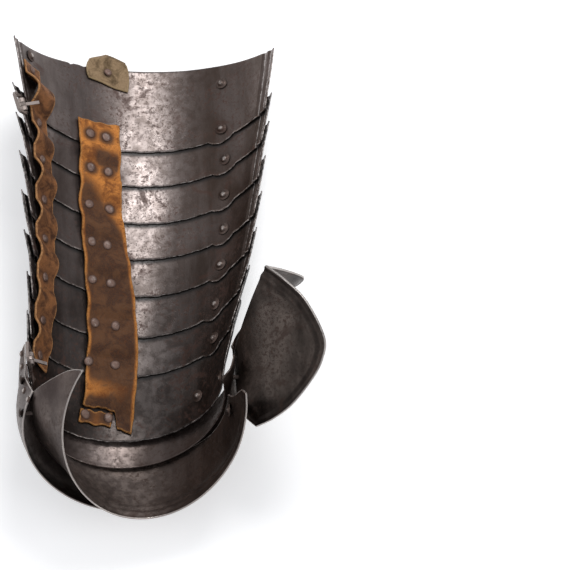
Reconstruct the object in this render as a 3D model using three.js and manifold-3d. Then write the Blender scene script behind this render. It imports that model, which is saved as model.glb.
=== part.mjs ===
import * as THREE from 'three';
import { mergeVertices } from 'three/addons/utils/BufferGeometryUtils.js';
import Module from 'manifold-3d';

const wasm = await Module();
wasm.setup();

// Frame while modelling, in millimetres: X to the outer side of the leg, where the wing is,
// Y to the hip, Z to the open back. The keel is the front line, where each plate is deepest.
// along counts down the keel from the top edge. A station is one oval section of the leg.

// Driving dimensions
const KEEL_LENGTH = 471;
const HALF_WIDTH = 131;
const HOLLOW_DEPTH = 114;
const SHEET = 1.3;
const LAP_GAP = 0.5;
const LAP_KEEL = 13;
const LAP_REAR = 24;
const FLUTE_HEIGHT = 1.3;
const LOBE_HEIGHT = 5;
const LOBE_WIDTH = 0.1;
const LOBE_MARGIN = 2;
const SPLAY = { inner: 8, outer: 3 };
const SEAT = 0.3;

const STRAP_THICKNESS = 2.2;
const STRAP_WIDTH = 43;
const STRAP_BULGE = 3;
const SIDE_STRAP_THICKNESS = 2;
const SIDE_STRAP_BULGE = 6;
const TAB_THICKNESS = 2;
const TAB_WIDTH = 40;

const RIVET_HEAD = 4.6;
const SIDE_HEAD = 4.1;
const RIVET_RISE = 1.7;
const RIVET_SHANK = 2;
const WASHER = 6;
const WASHER_THICKNESS = 0.8;
const HOLE_CLEARANCE = 0.4;
const SLOT_STRETCH = 2.2;
const RIVET_SIDES = 6;
const SLOT_DEPTH = 12;
const HEAD_SEAT = 0.75;

const BUCKLE_WIDTH = 20;
const BUCKLE_LENGTH = 17;
const BUCKLE_WIRE = 1.3;

// The knee's hinges: how far the upper ones sit above the lower thigh plate's edge, how far round
// its oval in degrees, and how far below them the lower ones are
const PIVOT_INSET = 7.6;
const PIVOT_ROUND = 89;
const PIVOT_SPACING = 31;
const EAR_FROM = 0.6;

// How the piece lies on its convex front: turned about the keel, then tipped along it.
const REST_ROLL = 9.2;
const REST_PITCH = -1.44;

const rad = THREE.MathUtils.degToRad;
const lerp = THREE.MathUtils.lerp;
const clamp = THREE.MathUtils.clamp;

// Colours of the bare metal and the leathers
const STEEL = new THREE.MeshStandardMaterial({ color: 0x6a625e, roughness: 0.45, metalness: 1 });
const RIVET_IRON = new THREE.MeshStandardMaterial({ color: 0x8a746a, roughness: 0.5, metalness: 0.9 });
const TAN = new THREE.MeshStandardMaterial({ color: 0x9a5d22, roughness: 0.85, metalness: 0 });
const OLIVE = new THREE.MeshStandardMaterial({ color: 0x6e5f3c, roughness: 0.9, metalness: 0 });

// Stations down the thigh. along, rise, half and deep are shares of KEEL_LENGTH, HOLLOW_DEPTH,
// HALF_WIDTH and HOLLOW_DEPTH, aside is a share of HALF_WIDTH, and the angles are in degrees:
// tilt leans the section to the hip at the sides, sweep is how far round the oval each side goes.
const THIGH = [
  { along: 0.000, rise: 0.061, tilt: -9, half: 1.000, deep: 1.000, sweep: 72, aside: 0.050, roll: 3 },
  { along: 0.195, rise: 0.044, tilt: 12, half: 0.920, deep: 0.952, sweep: 72, aside: 0.053, roll: 2 },
  { along: 0.276, rise: 0.044, tilt: 17, half: 0.890, deep: 0.912, sweep: 71, aside: 0.057, roll: 1 },
  { along: 0.361, rise: 0.035, tilt: 20, half: 0.863, deep: 0.864, sweep: 71, aside: 0.053, roll: 0 },
  { along: 0.442, rise: 0.035, tilt: 20, half: 0.836, deep: 0.825, sweep: 71, aside: 0.038, roll: -1 },
  { along: 0.524, rise: 0.026, tilt: 21, half: 0.786, deep: 0.778, sweep: 74, aside: 0.023, roll: -2 },
  { along: 0.614, rise: 0.026, tilt: 21, half: 0.740, deep: 0.750, sweep: 77, aside: -0.008, roll: -4 },
  { along: 0.696, rise: 0.018, tilt: 20, half: 0.695, deep: 0.719, sweep: 82, aside: -0.046, roll: -5 },
  { along: 0.785, rise: -0.008, tilt: 21, half: 0.660, deep: 0.711, sweep: 90, aside: -0.080, roll: -5 },
  { along: 0.830, rise: 0.020, tilt: 21, half: 0.641, deep: 0.706, round_in: 97, round_out: 92,
    aside: -0.099, roll: -4 },
];

// Lower edge of each plate down to the knee: a share of KEEL_LENGTH, and how far round the oval its
// sliding rivet sits, as a share of the sweep.
const PLATES = [
  { name: 'top_plate', edge: 0.195, rivet: 0.57 },
  { name: 'thigh_lame_1', edge: 0.276, rivet: 0.61 },
  { name: 'thigh_lame_2', edge: 0.361, rivet: 0.615 },
  { name: 'thigh_lame_3', edge: 0.442, rivet: 0.635 },
  { name: 'thigh_lame_4', edge: 0.524, rivet: 0.63 },
  { name: 'thigh_lame_5', edge: 0.614, rivet: 0.62 },
  { name: 'thigh_lame_6', edge: 0.696, rivet: 0.66 },
  { name: 'lower_thigh_plate', edge: 0.830, rivet: null },
];

// Stations of the three knee pieces, from upper to lower edge, in the same shares. round_in and
// round_out are the sweeps on the inner and the outer side.
const UPPER_KNEE_LAME = [
  { along: 0.798, rise: -0.044, tilt: 17, half: 0.703, deep: 0.736, round_in: 99, round_out: 97,
    aside: -0.064, roll: -4.5 },
  { along: 0.841, rise: -0.026, tilt: 24, half: 0.688, deep: 0.726, round_in: 101, round_out: 100,
    aside: -0.073, roll: -4.5 },
  { along: 0.883, rise: 0.018, tilt: 35, half: 0.653, deep: 0.702, round_in: 102, round_out: 103,
    aside: -0.090, roll: -4 },
];
const LOWER_KNEE_LAME = [
  { along: 0.866, rise: -0.054, tilt: 17, half: 0.6705, deep: 0.722, round_in: 98, round_out: 95,
    aside: -0.1165, roll: -1 },
  { along: 0.909, rise: 0.016, tilt: 26, half: 0.666, deep: 0.764, round_in: 107, round_out: 102,
    aside: -0.133, roll: 3 },
  { along: 0.955, rise: 0.138, tilt: 34, half: 0.6385, deep: 0.825, round_in: 114, round_out: 112,
    aside: -0.1195, roll: 7 },
  { along: 1.000, rise: 0.289, tilt: 40.5, half: 0.595, deep: 0.877, round_in: 114, round_out: 114,
    aside: -0.122, roll: 10 },
];
const KNEE_COP = [
  { along: 0.849, rise: -0.086, tilt: 44, half: 0.736, deep: 0.785, round_in: 109, round_out: 100,
    aside: -0.084, roll: -3 },
  { along: 0.894, rise: -0.095, tilt: 46, half: 0.745, deep: 0.775, round_in: 111, round_out: 103,
    aside: -0.094, roll: -2 },
  { along: 0.938, rise: -0.018, tilt: 48, half: 0.755, deep: 0.755, round_in: 112, round_out: 106,
    aside: -0.121, roll: 0 },
  { along: 0.979, rise: 0.172, tilt: 50, half: 0.725, deep: 0.715, round_in: 112, round_out: 106,
    aside: -0.135, roll: 2 },
];

// Outline of the wing from its upper front corner round the heart to its lower corner, as shares of
// the three sizes below. The lowest value of out is the crease. WING_FROM is where the outline is
// measured from: how far inside the cop's outer cheek, below the upper pivots and behind them.
const WING_FROM = { inside: 5.7, below: 7, behind: 2.8 };
const WING_OUT = 72;
const WING_REACH = 105;
const WING_BACK = 75;
const WING = [
  { out: 0.93, along: 1.00, back: -0.22 },
  { out: 0.93, along: 0.98, back: 0.05 },
  { out: 0.62, along: 0.92, back: 0.45 },
  { out: 0.31, along: 0.85, back: 0.80 },
  { out: 0.50, along: 0.70, back: 0.90 },
  { out: 0.74, along: 0.48, back: 0.97 },
  { out: 0.93, along: 0.16, back: 0.96 },
  { out: 0.90, along: -0.02, back: 0.87 },
  { out: 0.78, along: -0.16, back: 0.72 },
  { out: 0.56, along: -0.32, back: 0.52 },
  { out: 0.35, along: -0.40, back: 0.34 },
  { out: 0.17, along: -0.43, back: 0.19 },
];

// One row turned into lengths in millimetres.
function sized(row) {
  return {
    s: row.along * KEEL_LENGTH,
    z: row.rise * HOLLOW_DEPTH,
    tilt: row.tilt,
    half: row.half * HALF_WIDTH,
    deep: row.deep * HOLLOW_DEPTH,
    inner: row.round_in ?? row.sweep,
    outer: row.round_out ?? row.sweep,
    aside: row.aside * HALF_WIDTH,
    roll: row.roll,
  };
}

const thigh = THIGH.map(sized);

function blend(a, b, f) {
  return Object.fromEntries(Object.keys(a).map((key) => [key, lerp(a[key], b[key], f)]));
}

// The station at a distance down the keel, also a little past either end.
function stationAt(rows, s) {
  let i = 1;
  while (i < rows.length - 1 && rows[i].s < s) i += 1;
  return blend(rows[i - 1], rows[i], (s - rows[i - 1].s) / (rows[i].s - rows[i - 1].s));
}

// Smooth row at a share of the way through a short list of rows.
function smoothRow(rows, share) {
  const place = share * (rows.length - 1);
  const i = Math.min(Math.floor(place), rows.length - 2);
  const f = place - i;
  const [a, b, c, d] = [-1, 0, 1, 2].map((k) => rows[clamp(i + k, 0, rows.length - 1)]);
  const at = (key) => {
    const pull = (c[key] - a[key]) / 2;
    const next = (d[key] - b[key]) / 2;
    return (2 * b[key] - 2 * c[key] + pull + next) * f ** 3
      + (-3 * b[key] + 3 * c[key] - 2 * pull - next) * f ** 2 + pull * f + b[key];
  };
  return Object.fromEntries(Object.keys(a).map((key) => [key, at(key)]));
}

// Point of a station's oval. u runs from -1 at the inner rear edge by 0 at the keel to 1 outside.
function ovalPoint(row, u) {
  const a = rad(u * (u < 0 ? row.inner : row.outer));
  const roll = rad(row.roll);
  const tilt = rad(row.tilt);
  const side = row.half * Math.sin(a);
  const depth = row.deep * (1 - Math.cos(a));
  const x = side * Math.cos(roll) + depth * Math.sin(roll) + row.aside;
  const d = depth * Math.cos(roll) - side * Math.sin(roll);
  return new THREE.Vector3(x, d * Math.sin(tilt) - row.s, row.z + d * Math.cos(tilt));
}

const SMALL = 0.01;

// Point of the thigh's surface moved outward by off, and the outward direction there.
function thighPoint(s, u, off = 0) {
  const row = stationAt(thigh, s);
  const here = ovalPoint(row, u);
  const round = ovalPoint(row, u + SMALL).sub(ovalPoint(row, u - SMALL));
  const down = ovalPoint(stationAt(thigh, s + 1), u).sub(ovalPoint(stationAt(thigh, s - 1), u));
  const normal = round.cross(down).normalize();
  return { point: here.addScaledVector(normal, off), normal, down: down.normalize() };
}

// Closed wall from a grid of inner points, rows down the leg and columns from the inner side round
// to the outer one. The wall's outer face lies one thickness outward.
function wall(grid, thickness) {
  const rows = grid.length;
  const cols = grid[0].length;
  const at = (i, j) => grid[clamp(i, 0, rows - 1)][clamp(j, 0, cols - 1)];
  const outward = (i, j) => {
    const round = at(i, j + 1).clone().sub(at(i, j - 1));
    const down = at(i + 1, j).clone().sub(at(i - 1, j));
    return round.cross(down).normalize();
  };
  const points = [];
  for (let i = 0; i < rows; i += 1) {
    for (let j = 0; j < cols; j += 1) points.push(grid[i][j]);
  }
  const inner = (i, j) => i * cols + j;
  const outer = (i, j) => rows * cols + inner(i, j);
  for (let i = 0; i < rows; i += 1) {
    for (let j = 0; j < cols; j += 1) {
      points.push(grid[i][j].clone().addScaledVector(outward(i, j), thickness));
    }
  }
  const index = [];
  for (let i = 0; i < rows - 1; i += 1) {
    for (let j = 0; j < cols - 1; j += 1) {
      index.push(outer(i, j), outer(i, j + 1), outer(i + 1, j));
      index.push(outer(i, j + 1), outer(i + 1, j + 1), outer(i + 1, j));
      index.push(inner(i, j), inner(i + 1, j), inner(i, j + 1));
      index.push(inner(i, j + 1), inner(i + 1, j), inner(i + 1, j + 1));
    }
  }
  const rim = (i0, j0, i1, j1) => {
    index.push(outer(i1, j1), outer(i0, j0), inner(i0, j0));
    index.push(outer(i1, j1), inner(i0, j0), inner(i1, j1));
  };
  for (let j = 0; j < cols - 1; j += 1) {
    rim(0, j, 0, j + 1);
    rim(rows - 1, j + 1, rows - 1, j);
  }
  for (let i = 0; i < rows - 1; i += 1) {
    rim(i, cols - 1, i + 1, cols - 1);
    rim(i + 1, 0, i, 0);
  }
  const geometry = new THREE.BufferGeometry();
  const numbers = points.flatMap((point) => point.toArray());
  geometry.setAttribute('position', new THREE.Float32BufferAttribute(numbers, 3));
  geometry.setIndex(index);
  return geometry;
}

// Solids for cutting and joining
function toSolid(geometry, matrix = new THREE.Matrix4()) {
  const copy = geometry.clone().applyMatrix4(matrix);
  copy.deleteAttribute('normal');
  copy.deleteAttribute('uv');
  const merged = mergeVertices(copy, 1e-4);
  return new wasm.Manifold(new wasm.Mesh({
    numProp: 3,
    vertProperties: Float32Array.from(merged.attributes.position.array),
    triVerts: Uint32Array.from(merged.index.array),
  }));
}

function toGeometry(solid) {
  const mesh = solid.getMesh();
  const geometry = new THREE.BufferGeometry();
  geometry.setAttribute('position', new THREE.Float32BufferAttribute(mesh.vertProperties, 3));
  geometry.setIndex(new THREE.Uint32BufferAttribute(mesh.triVerts, 1));
  return geometry;
}

// Turn that takes the Y axis along a direction, at a place.
function placed(point, direction) {
  const turn = new THREE.Quaternion().setFromUnitVectors(new THREE.Vector3(0, 1, 0), direction);
  return new THREE.Matrix4().compose(point, turn, new THREE.Vector3(1, 1, 1));
}

// Columns of the plates as shares of the sweep, closer together at the flutes and round the sliding
// rivets' lobes. All thigh plates share them, so that they nest facet on facet.
const INNER_COLUMNS = [0.14, 0.28, 0.42, 0.56, 0.74, 0.88, 0.91, 0.94, 0.97, 1];
const OUTER_COLUMNS = [0.17, 0.34, 0.48, 0.54, 0.6, 0.66, 0.72, 0.88, 0.91, 0.94, 0.97, 1];
const PLATE_COLUMNS = [...INNER_COLUMNS.map((u) => -u).reverse(), 0, ...OUTER_COLUMNS];
const FLUTES = [0.91, 0.97];
const FLUTE_SPREAD = 0.03;

// Two narrow ridges along each rear edge.
function flute(u) {
  const rises = FLUTES.map((middle) => 1 - Math.abs(Math.abs(u) - middle) / FLUTE_SPREAD);
  return FLUTE_HEIGHT * Math.max(0, ...rises);
}

// Rounded lobe of a lower edge round the sliding rivet.
function lobe(u, middle) {
  if (middle === null) return 0;
  return LOBE_HEIGHT * Math.max(0, 1 - ((u - middle) / LOBE_WIDTH) ** 2);
}

// Thigh plates: each lies outside the one above it
const edges = PLATES.map((plate) => plate.edge * KEEL_LENGTH);
const LAP = SHEET + LAP_GAP;

function standOff(index, s) {
  const upper = index > 0 ? edges[index - 1] : 0;
  if (index > 0 && s < upper) return LAP + standOff(index - 1, s);
  return LAP * (edges[index] - s) / (edges[index] - upper);
}

function upperEdge(index, u) {
  return index === 0 ? 0 : edges[index - 1] - lerp(LAP_KEEL, LAP_REAR, u * u);
}

// How far the upper part of a lame stands away from the one above it, towards its rear edges.
const SPLAY_SHARE = [0, 1, 1, 1, 0.9, 0.7, 0.45, 0.2];
const SPLAY_FROM = 0.6;
const FLUTES_END = thigh.at(-2).s;
const FLUTES_FADE = edges.at(-2);

function splay(index, s, u) {
  const reach = clamp((Math.abs(u) - SPLAY_FROM) / (1 - SPLAY_FROM), 0, 1);
  const up = (edges[index] - s) / (edges[index] - upperEdge(index, u));
  return SPLAY_SHARE[index] * (u < 0 ? SPLAY.inner : SPLAY.outer) * reach ** 2 * Math.max(0, up);
}

function plateOffset(index, s, u) {
  const fade = clamp((FLUTES_END - s) / (FLUTES_END - FLUTES_FADE), 0, 1);
  return standOff(index, s) + splay(index, s, u) + flute(u) * fade;
}

function plateGrid(index) {
  const { rivet } = PLATES[index];
  const upper = index > 0 ? edges[index - 1] : edges[0] / 2;
  const between = index === PLATES.length - 1 ? [FLUTES_END] : [];
  const past = index > 0 ? [upper + LOBE_HEIGHT + LOBE_MARGIN] : [];
  const rowsAt = (u) => [upperEdge(index, u), upper, ...past, ...between, edges[index] + lobe(u, rivet)];
  return rowsAt(0).map((_, i) => PLATE_COLUMNS.map((u) => {
    const s = rowsAt(u)[i];
    return thighPoint(s, u, plateOffset(index, s, u)).point;
  }));
}

// Axes of the knee's hinges: along is down the keel, back is behind it towards the open side
function hingeAxis(s) {
  const row = stationAt(thigh, s);
  const depth = row.deep * (1 - Math.cos(rad(PIVOT_ROUND)));
  return { along: s - depth * Math.sin(rad(row.tilt)), back: row.z + depth * Math.cos(rad(row.tilt)) };
}

const PIVOT = hingeAxis(edges.at(-1) - PIVOT_INSET);
const LOWER_PIVOT = { along: PIVOT.along + PIVOT_SPACING, back: PIVOT.back };

// Knee pieces
const KNEE_HALF = [0.15, 0.3, 0.45, 0.6, 0.74, 0.87, 1];
const KNEE_COLUMNS = [...KNEE_HALF.map((u) => -u).reverse(), 0, ...KNEE_HALF];

// Ears round the pivots: how far the upper and the lower edge reach beyond the stations there.
const UPPER_KNEE_EARS = { up: 7, down: 4 };
const LOWER_KNEE_EARS = { up: 8, down: 0 };
const NO_EARS = { up: 0, down: 0 };

function kneeGrid(rows, count, ears = NO_EARS) {
  return Array.from({ length: count }, (_, i) => {
    const share = i / (count - 1);
    const row = smoothRow(rows.map(sized), share);
    const reach = lerp(ears.up, -ears.down, share);
    return KNEE_COLUMNS.map((u) => {
      const point = ovalPoint(row, u);
      point.y += reach * clamp((Math.abs(u) - EAR_FROM) / (1 - EAR_FROM), 0, 1);
      return point;
    });
  });
}

// The wing carries the cop's outer cheek on from its rear edge.
const WING_STEPS = [0.2, 0.45, 0.72, 1];
const WING_CURL = 1.5;
const COP_CHEEK = (KNEE_COP[1].aside + KNEE_COP[1].half) * HALF_WIDTH;

function copGrid() {
  const grid = kneeGrid(KNEE_COP, WING.length);
  return grid.map((row, i) => {
    const root = row.at(-1);
    const end = new THREE.Vector3(
      COP_CHEEK - WING_FROM.inside + WING[i].out * WING_OUT,
      WING[i].along * WING_REACH - PIVOT.along - WING_FROM.below,
      WING[i].back * WING_BACK + PIVOT.back + WING_FROM.behind,
    );
    const wing = WING_STEPS.map((t) => {
      const point = root.clone().lerp(end, t);
      point.x = lerp(root.x, end.x, t ** WING_CURL);
      return point;
    });
    return [...row, ...wing];
  });
}

// The pieces are worked on as solids by name, then become meshes.
const pieces = new Map();

function addPiece(name, solid, material) {
  pieces.set(name, { solid, material });
}

function cut(name, tool) {
  const piece = pieces.get(name);
  piece.solid = piece.solid.subtract(tool);
}

PLATES.forEach((plate, index) => addPiece(plate.name, toSolid(wall(plateGrid(index), SHEET)), STEEL));
addPiece('upper_knee_lame', toSolid(wall(kneeGrid(UPPER_KNEE_LAME, 4, UPPER_KNEE_EARS), SHEET)), STEEL);
addPiece('lower_knee_lame', toSolid(wall(kneeGrid(LOWER_KNEE_LAME, 5, LOWER_KNEE_EARS), SHEET)), STEEL);
addPiece('knee_cop', toSolid(wall(copGrid(), SHEET)), STEEL);

// Leathers, on the inner faces
function spanOf(s, u, width) {
  const row = stationAt(thigh, s);
  const step = ovalPoint(row, u + SMALL).distanceTo(ovalPoint(row, u - SMALL));
  return (width * SMALL) / step;
}

// A leather from rows of s, middle, width and lift; bend moves each column along the leg.
function leather(rows, across, thickness) {
  const grid = rows.map(({ s, middle, width, lift, bend = [] }) => across.map((c, k) => {
    const u = middle + (2 * c - 1) * spanOf(s, middle, width);
    return thighPoint(s + (bend[k] ?? 0), u, -(SEAT + lift + thickness)).point;
  }));
  return toSolid(wall(grid, thickness));
}

// Both rivets of each plate through the middle strap, and the strap's middle and width there
const RIVET_ABOVE_EDGE = 11;
const LAST_RIVET_ABOVE_EDGE = 23;
const STRAP_START = 15;
const STRAP = [
  { middle: -0.270, width: 1.00, left: -0.335, right: -0.220 },
  { middle: -0.290, width: 1.00, left: -0.355, right: -0.225 },
  { middle: -0.305, width: 1.02, left: -0.385, right: -0.230 },
  { middle: -0.275, width: 1.05, left: -0.370, right: -0.250 },
  { middle: -0.240, width: 1.10, left: -0.365, right: -0.220 },
  { middle: -0.200, width: 1.12, left: -0.330, right: -0.170 },
  { middle: -0.170, width: 1.14, left: -0.350, right: -0.145 },
  { middle: -0.165, width: 1.15, left: -0.325, right: -0.155 },
];
const STRAP_COLUMNS = [0, 0.3, 0.64, 0.72, 1];
const TORN_EDGE = [-9, -8, -7, 9, 18];
const TORN_CURL = 0.9;
const WAVE_STEPS = [0.16, 0.5, 0.84];

// How far a leather stands off between two rivets, flat under each of them.
function fold(f) {
  const flat = WAVE_STEPS[0];
  return Math.max(0, Math.sin((Math.PI * (f - flat)) / (1 - 2 * flat)));
}

function strapRivetAlong(index) {
  return edges[index] - (index === edges.length - 1 ? LAST_RIVET_ABOVE_EDGE : RIVET_ABOVE_EDGE);
}

function strapRows() {
  const rows = STRAP.map((row, i) => ({ ...row, s: strapRivetAlong(i), width: row.width * STRAP_WIDTH }));
  const [last, torn] = rows.slice(-2);
  const all = [{ ...rows[0], s: rows[0].s - STRAP_START, lift: 0 }];
  for (let i = 0; i < rows.length - 2; i += 1) {
    WAVE_STEPS.forEach((f) => all.push({ ...blend(rows[i], rows[i + 1], f), lift: STRAP_BULGE * fold(f) }));
  }
  [...WAVE_STEPS, 1].forEach((f) => all.push({
    ...blend(last, torn, f),
    lift: STRAP_BULGE * fold(f * TORN_CURL),
    bend: TORN_EDGE.map((drop) => drop * f),
  }));
  return all;
}

addPiece('middle_strap', leather(strapRows(), STRAP_COLUMNS, STRAP_THICKNESS), TAN);

// The torn-off end that the last pair of rivets still holds
const SCRAP_HEIGHT = 13;
const SCRAP_MARGIN = { left: 4.7, right: 3 };
const SCRAP_THICKNESS = 1.8;
const SCRAP_SEAT = 1.1;
const SCRAP_ROWS = [-0.36, 0.2, 0.6];
const SCRAP_COLUMNS = [0, 0.25, 0.5, 0.75, 1];

function scrapSolid() {
  const { left, right } = STRAP.at(-1);
  const grid = SCRAP_ROWS.map((share) => {
    const s = strapRivetAlong(STRAP.length - 1) + share * SCRAP_HEIGHT;
    const from = left - 2 * spanOf(s, left, SCRAP_MARGIN.left);
    const to = right + 2 * spanOf(s, right, SCRAP_MARGIN.right);
    return SCRAP_COLUMNS.map((c) => thighPoint(s, lerp(from, to, c), -(SEAT + SCRAP_THICKNESS)).point);
  });
  return toSolid(wall(grid, SCRAP_THICKNESS));
}

addPiece('strap_scrap', scrapSolid(), TAN);

// The side strap near the inner rear edge, with a fold below each rivet
const SIDE_STRAP_WIDTH = 29;
const SIDE_STRAP_MIDDLE = -0.84;
const SIDE_RIVET_BELOW = 13;
const SIDE_FIRST = 38;
const SIDE_LAST_BELOW = 10;
const SIDE_START = 6;
const SIDE_END = 9;
const SIDE_FOLDS = [2.0, 0.9, 1.1, 0.9, 0.8, 0.6, 0.7];

function sideRivetAlong(index) {
  if (index === 0) return SIDE_FIRST;
  return edges[index - 1] + (index === edges.length - 1 ? SIDE_LAST_BELOW : SIDE_RIVET_BELOW);
}

function sideStrapRows() {
  const size = { middle: SIDE_STRAP_MIDDLE, width: SIDE_STRAP_WIDTH };
  const rows = PLATES.map((_, i) => ({ ...size, s: sideRivetAlong(i) }));
  const all = [{ ...rows[0], s: rows[0].s - SIDE_START, lift: 0 }];
  rows.slice(0, -1).forEach((row, i) => WAVE_STEPS.forEach((f) => {
    const lift = SIDE_FOLDS[i] * SIDE_STRAP_BULGE * fold(f);
    all.push({ ...blend(row, rows[i + 1], f), lift });
  }));
  all.push({ ...rows.at(-1), lift: 0 });
  all.push({ ...rows.at(-1), s: rows.at(-1).s + SIDE_END, lift: 0 });
  return all;
}

addPiece('side_strap', leather(sideStrapRows(), [0, 0.5, 1], SIDE_STRAP_THICKNESS), TAN);

// The tab folded over the top edge, from inside over the edge and down outside: how far above the
// edge, how far out of the plate's inner face, and its width as a share.
const TAB_RISE = 17;
const TAB_MIDDLE = -0.18;
const TAB = [
  { above: -1.15, out: -0.9, width: 0.80 },
  { above: -0.55, out: -0.9, width: 1.05 },
  { above: 0.15, out: -0.9, width: 1.00 },
  { above: 0.70, out: -1.2, width: 0.90 },
  { above: 1.00, out: 1.0, width: 0.80 },
  { above: 0.60, out: 3.6, width: 0.75 },
  { above: 0.10, out: 3.2, width: 0.75 },
  { above: -0.60, out: 2.7, width: 0.70 },
];
const TAB_OUT = 2.2;

function tabSolid() {
  const across = [0, 0.33, 0.67, 1];
  const path = (row, c) => {
    const u = TAB_MIDDLE + (2 * c - 1) * spanOf(0, TAB_MIDDLE, TAB_WIDTH * row.width);
    const base = thighPoint(0, u, LAP);
    const up = base.down.clone().negate();
    return base.point.clone().addScaledVector(up, row.above * TAB_RISE)
      .addScaledVector(base.normal, row.out * TAB_OUT);
  };
  const middleLine = TAB.map((row) => across.map((c) => path(row, c)));
  const half = TAB_THICKNESS / 2;
  const shifted = middleLine.map((row, i) => row.map((point, j) => {
    const before = middleLine[Math.max(0, i - 1)][j];
    const after = middleLine[Math.min(middleLine.length - 1, i + 1)][j];
    const side = middleLine[i][Math.min(j + 1, across.length - 1)].clone()
      .sub(middleLine[i][Math.max(j - 1, 0)]);
    const normal = side.cross(after.clone().sub(before)).normalize();
    return point.clone().addScaledVector(normal, -half);
  }));
  return toSolid(wall(shifted, TAB_THICKNESS));
}

addPiece('top_tab', tabSolid(), OLIVE);

// A head's shoulder as shares of its radius and rise, and the flat of an outer head
const DOME = { width: 0.65, height: 0.75 };
const OUTER_FLAT = 0.6;

// A rivet turned about its axis: head towards the hollow, shank going outward. reach is the shank's
// length from under the head, and a washer or an outer head is added where its size is given.
function rivetGeometry({ head, rise, reach, washer = 0, outerHead = 0 }) {
  const profile = [[0, rise], [head * DOME.width, rise * DOME.height], [head, 0]];
  if (washer) profile.push([washer, 0], [washer, -WASHER_THICKNESS]);
  const under = washer ? -WASHER_THICKNESS : 0;
  profile.push([RIVET_SHANK, under], [RIVET_SHANK, under - reach]);
  if (outerHead) {
    profile.push([outerHead, under - reach], [outerHead * OUTER_FLAT, under - reach - rise]);
    profile.push([0, under - reach - rise]);
  } else {
    profile.push([0, under - reach]);
  }
  const points = profile.reverse().map(([r, y]) => new THREE.Vector2(r, y));
  return new THREE.LatheGeometry(points, RIVET_SIDES);
}

const BORE = RIVET_SHANK + HOLE_CLEARANCE;
const BORE_LENGTH = 24;

function boreSolid(point, direction, length) {
  return toSolid(new THREE.CylinderGeometry(BORE, BORE, length, RIVET_SIDES), placed(point, direction));
}

// Slots run down the leg, so their long side is turned to that direction.
function slotMatrix(point, normal, down) {
  const side = new THREE.Vector3().crossVectors(normal, down).normalize();
  const along = new THREE.Vector3().crossVectors(side, normal);
  const turn = new THREE.Matrix4().makeBasis(side, normal, along);
  return turn.setPosition(point);
}

// Sets a rivet at a place of the thigh. seat is how far its head's underside is from the thigh's
// inner surface, inward; end is how far the shank goes outward from that surface.
function setRivet(name, s, u, { seat, end, cuts, ...size }) {
  const { point, normal } = thighPoint(s, u);
  const inward = normal.clone().negate();
  const washerLift = size.washer ? WASHER_THICKNESS : 0;
  const place = point.clone().addScaledVector(inward, seat + washerLift);
  const geometry = rivetGeometry({ ...size, reach: seat + end });
  cuts.forEach((target) => cut(target, boreSolid(point, inward, BORE_LENGTH)));
  addPiece(name, toSolid(geometry, placed(place, inward)), RIVET_IRON);
}

STRAP.forEach((row, index) => {
  const s = strapRivetAlong(index);
  const last = index === STRAP.length - 1;
  const under = last ? SCRAP_THICKNESS : STRAP_THICKNESS;
  Object.entries({ inner: row.left, outer: row.right }).forEach(([side, u]) => {
    setRivet(`strap_rivet_${index + 1}_${side}`, s, u, {
      head: RIVET_HEAD,
      rise: RIVET_RISE,
      seat: under + (last ? SCRAP_SEAT : HEAD_SEAT),
      end: plateOffset(index, s, u) + SHEET,
      cuts: [last ? 'strap_scrap' : 'middle_strap', PLATES[index].name],
    });
  });
});

PLATES.forEach((plate, index) => {
  const s = sideRivetAlong(index);
  setRivet(`side_strap_rivet_${index + 1}`, s, SIDE_STRAP_MIDDLE, {
    head: SIDE_HEAD,
    rise: RIVET_RISE,
    seat: SIDE_STRAP_THICKNESS + HEAD_SEAT,
    end: plateOffset(index, s, SIDE_STRAP_MIDDLE) + SHEET,
    cuts: ['side_strap', plate.name],
  });
});

// Sliding rivets join each plate to the one below it, which has a slot. The lower thigh plate and
// the top plate each carry one more, with nothing under it.
const SLIDE_ABOVE_EDGE = 11;
const SLIDE_HEAD = 3.4;
const OUTER_HEAD = 4.2;
const LONE_RIVETS = [
  { name: 'top_rivet', plate: 0, along: 0.049, u: 0.555 },
  { name: 'side_top_rivet', plate: 0, along: 0.027, u: -0.79 },
  { name: 'lower_rivet', plate: 7, along: 0.779, u: 0.515 },
];

PLATES.slice(0, -1).forEach((plate, index) => {
  const s = edges[index] - SLIDE_ABOVE_EDGE;
  const lower = PLATES[index + 1].name;
  const { point, normal, down } = thighPoint(s, plate.rivet);
  const slot = new THREE.CylinderGeometry(BORE, BORE, SLOT_DEPTH, RIVET_SIDES);
  slot.scale(1, 1, SLOT_STRETCH);
  cut(lower, toSolid(slot, slotMatrix(point, normal, down)));
  setRivet(`sliding_rivet_${index + 1}`, s, plate.rivet, {
    head: SLIDE_HEAD,
    rise: RIVET_RISE,
    washer: WASHER,
    outerHead: OUTER_HEAD,
    seat: HEAD_SEAT - plateOffset(index, s, plate.rivet),
    end: plateOffset(index + 1, s, plate.rivet) + SHEET + SEAT,
    cuts: [plate.name],
  });
});

LONE_RIVETS.forEach(({ name, plate, along, u }) => {
  const s = along * KEEL_LENGTH;
  const offset = plateOffset(plate, s, u);
  setRivet(name, s, u, {
    head: SLIDE_HEAD,
    rise: RIVET_RISE,
    washer: WASHER,
    outerHead: OUTER_HEAD,
    seat: HEAD_SEAT - offset,
    end: offset + SHEET + SEAT,
    cuts: [PLATES[plate].name],
  });
});

// The rivet that holds the tab to the top plate
const TAB_RIVET = { along: 6, u: -0.18, head: 3.2 };
const TAB_SEAT = TAB_OUT + TAB_THICKNESS / 2;

setRivet('tab_rivet', TAB_RIVET.along, TAB_RIVET.u, {
  head: TAB_RIVET.head,
  rise: RIVET_RISE,
  seat: TAB_SEAT,
  end: plateOffset(0, TAB_RIVET.along, TAB_RIVET.u) + SHEET,
  cuts: ['top_tab', 'top_plate'],
});

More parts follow.
